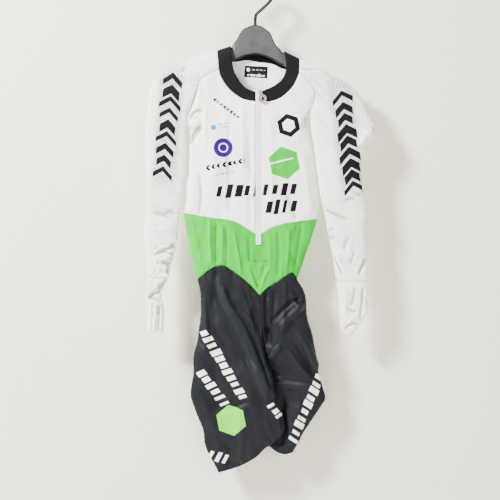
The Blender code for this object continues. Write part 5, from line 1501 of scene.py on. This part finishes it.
# %% Prints in millimetres
BLACK, GREY, PAPER = (0.002, 0.002, 0.003), (0.03, 0.03, 0.035), (0.85, 0.85, 0.84)
LEAF, LIME, MOSS = (0.006, 0.40, 0.014), (0.13, 0.55, 0.02), (0.004, 0.20, 0.008)
VIOLET, SKY = (0.020, 0.0006, 0.12), (0.003, 0.16, 0.66)
CHEVRON_BEND = 0.8
# Columns kind, x, z, turn in degrees, length or radius, height or roundness, pitch, lean, seed, colour;
# "chevrons" are blocks bent at their middle
CHEST_PRINTS = (
    ("chevrons", -99, -265, -37.0, 76, 8, 9.5, 0.1, 3, GREY),
    ("hexagon", -98, -332, 0, 6.2, 0.3, 0, 0, 0, SKY),
    ("blocks", -87, -326, 10, 24, 3.0, 6, 0.2, 8, GREY),
    ("blocks", -86, -333, 10, 22, 3.0, 6, 0.2, 12, GREY),
    ("hexagon", -76, -378, 0, 21.8, 1.0, 0, 0, 0, VIOLET),
    ("hexagon", -76, -378, 0, 11.0, 1.0, 0, 0, 0, PAPER),
    ("hexagon", -76, -378, 0, 8.6, 1.0, 0, 0, 0, VIOLET),
    ("chevrons", -116, -425, 11.0, 90, 13, 12.5, 0.1, 21, BLACK),
    ("blocks", -94, -441, 12.0, 48, 3.2, 12, 0.4, 31, GREY),
    ("blocks", -90, -478, 2.0, 182, 32, 21, 0.25, 41, BLACK),
    ("blocks", 22, -514, 3.0, 70, 34, 19, 0.25, 54, BLACK),
    ("hexagon", 73, -327, 0, 24.0, 0.0, 0, 0, 0, BLACK),
    ("hexagon", 73, -327, 0, 13.5, 0.0, 0, 0, 0, PAPER),
    ("hexagon", 63, -413, 0, 33.0, 0.0, 0, 0, 0, LEAF),
    ("blocks", 26, -416, 14.0, 76, 4.5, 90, 0.0, 7, PAPER),
)
FACING_STITCHES = (
    ("blocks", -15.5, -571, -90, 66, 0.9, 2.8, 0, 3, MOSS),
    ("blocks", 30.5, -568, -90, 70, 0.9, 2.8, 0, 5, MOSS),
    ("blocks", -15.5, -637, 2, 46, 0.9, 2.8, 0, 7, MOSS),
)
SLEEVE_PRINTS = {
    "right": (("chevrons", -190, -205, -96.0, 238, 52, 27, 0.15, 61, BLACK),),
    "left": (("chevrons", 194, -246, -83.0, 230, 50, 26, -0.15, 71, BLACK),),
}
THIGH_PRINTS = {
    "right": (("blocks", -122, -796, -59.0, 178, 24, 17, 0.2, 81, PAPER),
              ("blocks", -130, -888, -53.0, 96, 25, 18, 0.2, 93, PAPER),
              ("hexagon", -58, -1000, 0, 31.0, 0.0, 0, 0, 0, LIME),
              ("blocks", -108, -1079, -16.0, 46, 26, 17, 0.2, 99, PAPER),
              ("blocks", 30, -962, -50.0, 40, 20, 15, 0.2, 101, PAPER)),
    "left": (("blocks", 82, -1048, 67.0, 186, 25, 17, 0.2, 111, PAPER),),
}


def with_prints(tree, colour, prints):
    """Lay the prints of a table over a colour, masked to the side that faces the front."""
    front = uv_map(tree, "front")
    facing = step(tree, attribute(tree, "shown"), 0.45, 0.55)
    for kind, x, z, turn, size, height, pitch, lean, seed, ink in prints:
        if kind == "hexagon":
            mask = place_group(tree, hexagon, Front=front, X=x * MM, Z=z * MM, Radius=size * MM,
                               Round=float(height))["Mask"]
        else:
            mask = place_group(tree, blocks, Front=front, X=x * MM, Z=z * MM,
                               Turn=float(np.radians(turn)), Length=size * MM, Height=height * MM,
                               Pitch=pitch * MM, Lean=lean, Seed=float(seed),
                               Chevron=CHEVRON_BEND if kind == "chevrons" else 0.0)["Mask"]
        colour = mix_colour(tree, calc(tree, "MULTIPLY", mask, facing), colour, ink)
    return colour


# %% Cloth materials
ZONE_FADE = 0.03                # metres over which the ribs begin and end


def zone_share(tree, zone):
    """1 inside a band of the front view: x, z of its middle line's ends and its half width."""
    x0, z0, x1, z1, half_width = (value * MM for value in zone)
    x, z, _ = separated(tree, uv_map(tree, "front"))
    lean = (x1 - x0) / (z1 - z0)
    line_x = calc(tree, "MULTIPLY_ADD", z, lean, x0 - z0 * lean)
    off = calc(tree, "ABSOLUTE", calc(tree, "SUBTRACT", x, line_x))
    inside = calc(tree, "SUBTRACT", 1.0, step(tree, off, half_width * 0.75, half_width * 1.15))
    above = step(tree, z, z1 - ZONE_FADE, z1 + ZONE_FADE)
    below = calc(tree, "SUBTRACT", 1.0, step(tree, z, z0, z0 + ZONE_FADE))
    return calc(tree, "MULTIPLY", calc(tree, "MULTIPLY", inside, above), below)


def cloth(name, colour, shade, rough, sheen, specular=0.25, loop=0.9, rib=0.0, rib_width=4.0, bump=0.25,
          prints=(), zone=None, low=None, high=None, gain=1.0):
    """Knitted cloth: a colour and its shaded tone, loops, ribs, seam thread and prints.

    Shade is painted into the hollows of the creases, in low or else in shade, and a highlight is
    painted on their ridges, in high or else in the colour itself. zone is the band that has ribs.
    """
    material, tree, shader = new_material(name, {
        "Sheen Weight": sheen, "Sheen Roughness": 0.45, "Specular IOR Level": specular})
    cut = uv_map(tree, "cut")
    place = tree.nodes.new("ShaderNodeTexCoord").outputs["Object"]
    rib_amount = rib if zone is None else calc(tree, "MULTIPLY", zone_share(tree, zone), rib)
    surface = place_group(tree, knit, Cut=cut, Loop_Width=loop * MM, Rib_Width=rib_width * MM,
                          Rib=rib_amount)
    stitched = place_group(tree, thread, Cut=cut, Side=attribute(tree, "seam_side"),
                           End=attribute(tree, "seam_end"))["Mask"]
    uneven = place_group(tree, tone, Place=place, Scale=14.0)["Amount"]
    tinted = mix_colour(tree, calc(tree, "MULTIPLY", uneven, 0.5 if zone is None else 0.12), colour, shade)
    if rib:
        ribbed = calc(tree, "MULTIPLY", calc(tree, "MULTIPLY", surface["Tone"], 1.4), rib_amount)
        tinted = mix_colour(tree, ribbed, tinted, shade)
    # Shade painted into the hollows of the creases and a highlight painted on their ridges, from the lift
    # and bend of the cloth.
    painted_crease_shading = place_group(tree, folds, Lift=attribute(tree, "lift"), Bend=attribute(tree, "bend"), Gain=gain)
    tinted = mix_colour(tree, painted_crease_shading["Low"], tinted, low or shade)
    tinted = mix_colour(tree, painted_crease_shading["High"], tinted, high or colour)
    tinted = with_prints(tree, tinted, prints)
    tinted = mix_colour(tree, calc(tree, "MULTIPLY", stitched, 0.65), tinted, shade)
    tree.links.new(tinted, shader.inputs["Base Color"])
    tree.links.new(calc(tree, "MULTIPLY_ADD", uneven, 0.1, rough), shader.inputs["Roughness"])
    height = calc(tree, "ADD", surface["Height"], calc(tree, "MULTIPLY", stitched, 0.9))
    bump_surface(tree, shader, height, bump, 0.0006)
    return material


WHITE, WHITE_SHADE = (0.90, 0.90, 0.885), (0.83, 0.83, 0.81)
CREAM, CREAM_SHADE = (0.86, 0.85, 0.80), (0.78, 0.76, 0.70)
GREEN, GREEN_SHADE = (0.003, 0.42, 0.012), (0.002, 0.33, 0.008)
NAVY, NAVY_SHADE = (0.0026, 0.0034, 0.0062), (0.0042, 0.0052, 0.0085)
COAL, COAL_SHADE = (0.0022, 0.0022, 0.0030), (0.0042, 0.0042, 0.0052)
# Colours of the shade painted into the hollows of the creases and of the highlight painted on their ridges
WHITE_PAINTED_SHADE, GREEN_PAINTED_SHADE, GREEN_PAINTED_HIGHLIGHT = (0.46, 0.44, 0.395), (0.003, 0.20, 0.006), (0.03, 0.52, 0.03)
WHITE_PAINTED_HIGHLIGHT, RIB_SHADE = (0.96, 0.96, 0.95), (0.34, 0.34, 0.335)
NAVY_PAINTED_SHADE, NAVY_PAINTED_HIGHLIGHT = (0.0008, 0.0010, 0.0020), (0.0058, 0.0070, 0.0105)
finishes = {
    "chest": cloth("chest_cloth", WHITE, WHITE_SHADE, 0.62, 0.03, specular=0.1, prints=CHEST_PRINTS,
                   low=WHITE_PAINTED_SHADE, high=WHITE_PAINTED_HIGHLIGHT, gain=2.0),
    "plain": cloth("plain_white_cloth", WHITE, WHITE_SHADE, 0.62, 0.03, specular=0.1, low=WHITE_PAINTED_SHADE,
                   gain=2.0),
    "cuff": cloth("cuff_cloth", CREAM, CREAM_SHADE, 0.66, 0.03, specular=0.1, loop=1.1, low=WHITE_PAINTED_SHADE,
                  high=WHITE_PAINTED_HIGHLIGHT, gain=2.2),
    "green": cloth("green_cloth", GREEN, GREEN_SHADE, 0.5, 0.02, specular=0.15, prints=FACING_STITCHES,
                   low=GREEN_PAINTED_SHADE, high=GREEN_PAINTED_HIGHLIGHT),
    "green_inside": cloth("green_inside", (0.03, 0.38, 0.04), GREEN_SHADE, 0.7, 0.02, specular=0.1),
    "navy_inside": cloth("navy_inside", (0.008, 0.009, 0.012), NAVY_SHADE, 0.7, 0.02, specular=0.1),
    "navy": cloth("navy_cloth", NAVY, NAVY_SHADE, 0.5, 0.02, specular=0.16, low=NAVY_PAINTED_SHADE, high=NAVY_PAINTED_HIGHLIGHT),
    "collar": cloth("collar_rib", COAL, COAL_SHADE, 0.7, 0.02, specular=0.1, loop=1.3, rib=0.7,
                    rib_width=2.4, bump=0.5),
    "tape": cloth("zip_tape_weave", (0.86, 0.86, 0.84), (0.74, 0.74, 0.72), 0.6, 0.0, loop=0.7, rib=0.5,
                  rib_width=1.4, bump=0.4),
}
ZONES = {"right": (-192, -200, -214, -470, 30), "left": (190, -232, 222, -486, 30)}
for side in SLEEVES:
    finishes["sleeve_" + side] = cloth(
        "sleeve_cloth_" + side, WHITE, RIB_SHADE, 0.62, 0.05, rib=0.8, rib_width=7.0, bump=0.6, specular=0.1,
        prints=SLEEVE_PRINTS[side], zone=ZONES[side], low=WHITE_PAINTED_SHADE, high=WHITE_PAINTED_HIGHLIGHT, gain=2.2)
    finishes["thigh_" + side] = cloth(
        "thigh_cloth_" + side, NAVY, NAVY_SHADE, 0.5, 0.02, specular=0.16,
        prints=THIGH_PRINTS[side], low=NAVY_PAINTED_SHADE, high=NAVY_PAINTED_HIGHLIGHT)
DRESS = {                       # outer and inner finish, and the slot of the record
    "collar": ("collar", "collar", "collar_cloth"), "back": ("plain", "plain", "white_cloth"),
    "front_right": ("chest", "plain", "white_cloth"), "front_left": ("chest", "plain", "white_cloth"),
    "sleeve_right": ("sleeve_right", "plain", "sleeve_cloth"),
    "sleeve_left": ("sleeve_left", "plain", "sleeve_cloth"),
    "cuff_right": ("cuff", "plain", "cuff_cloth"), "cuff_left": ("cuff", "plain", "cuff_cloth"),
    "waist_front": ("green", "green_inside", "green_cloth"),
    "waist_back": ("green", "green_inside", "green_cloth"),
    "shorts_front_right": ("thigh_right", "navy_inside", "shorts_cloth"),
    "shorts_front_left": ("thigh_left", "navy_inside", "shorts_cloth"),
    "shorts_back_right": ("navy", "navy_inside", "shorts_cloth"),
    "shorts_back_left": ("navy", "navy_inside", "shorts_cloth"), "zip": ("tape", "tape", "zip_tape"),
    "gusset": ("navy", "navy_inside", "shorts_cloth"),
}
for name, (outer, inner, slot) in DRESS.items():
    for key in (outer, inner):
        panels[name].data.materials.append(finishes[key])

# %% Label, plastic and metal


def plain_material(name, colour, shade, rough, metallic=0.0, grain=0.3, specular=0.5, rim=None,
                   facing=None):
    """Moulded plastic or painted metal: uneven tone, fine grain, and a darker rim where one is given.

    rim is the colour of shade painted along a rim. facing is the colour of a highlight painted down the
    middle of a polished wire, where it looks straight at the eye; its edges stay dark.
    """
    material, tree, shader = new_material(name, {"Metallic": metallic, "Specular IOR Level": specular})
    place = tree.nodes.new("ShaderNodeTexCoord").outputs["Object"]
    uneven = place_group(tree, tone, Place=place, Scale=30.0)["Amount"]
    fine_grain = noise(tree, place, 900.0, 3.0)
    tinted = mix_colour(tree, uneven, colour, shade)
    # Shade painted along the rim
    if rim is not None:
        tinted = mix_colour(tree, attribute(tree, "rim"), tinted, rim)
    # Highlight painted down the middle of the wire, where it faces the eye
    if facing is not None:
        weight = tree.nodes.new("ShaderNodeLayerWeight")
        weight.inputs["Blend"].default_value = 0.5
        middle = calc(tree, "SUBTRACT", 1.0, step(tree, weight.outputs["Facing"], 0.005, 0.05))
        tinted = mix_colour(tree, middle, tinted, facing)
    tree.links.new(tinted, shader.inputs["Base Color"])
    tree.links.new(calc(tree, "MULTIPLY_ADD", fine_grain, 0.18, rough - 0.09), shader.inputs["Roughness"])
    bump_surface(tree, shader, fine_grain, grain, 0.0002)
    return material


LABEL_PRINTS = (
    ("chevrons", -22, -206, -3.0, 42, 5.6, 7.0, 0.1, 5, PAPER),
    ("blocks", -10, -194, -3.0, 30, 1.6, 9.0, 0.0, 9, PAPER),
    ("hexagon", -19, -194, 0, 3.8, 0.0, 0, 0, 0, PAPER),
)
label_material = cloth("label_print", (0.006, 0.006, 0.009), (0.010, 0.010, 0.013), 0.6, 0.0, specular=0.1,
                       prints=LABEL_PRINTS)
for _ in range(2):
    panels["neck_label"].data.materials.append(label_material)
for obj, material, slot in (
        (coil, plain_material("coil_plastic", (0.80, 0.80, 0.78), (0.72, 0.72, 0.70), 0.4), "zip_tape"),
        (slider, plain_material("slider_paint", (0.36, 0.33, 0.31), (0.27, 0.25, 0.23), 0.34, 0.4),
         "slider_metal"),
        (pull, plain_material("pull_rubber", (0.25, 0.195, 0.165), (0.17, 0.128, 0.105), 0.4),
         "pull_plastic"),
        # The rim colour is shade painted along the hub's edge
        (hanger, plain_material("hanger_satin", (0.058, 0.058, 0.060), (0.044, 0.044, 0.046), 0.45,
                                grain=0.5, specular=0.2, rim=(0.006, 0.006, 0.007)), "hanger_plastic"),
        # The facing colour is a highlight painted down the middle of the wire
        (hook, plain_material("hook_enamel_and_painted_highlight", (0.002, 0.002, 0.002), (0.004, 0.004, 0.004), 0.3, specular=0.0,
                              facing=(0.16, 0.16, 0.16)), "hook_metal")):
    obj.data.materials.append(material)

# %% [markdown]
# ## Cut sizes
#
# The width and length that each panel was cut to before it was sewn and hung are taken from its
# smooth grid. A stretch panel that hangs empty is about as large as its cut, so width and length
# are the panel's widest and longest lines.

for name, grid in list(grids.items()) + [("zip", tape), ("neck_label", label), ("gusset", gusset_grid)]:
    u, v = arc_lengths(grid)
    width, length = float(u[:, -1].max()) * MM, float(v[-1].max()) * MM
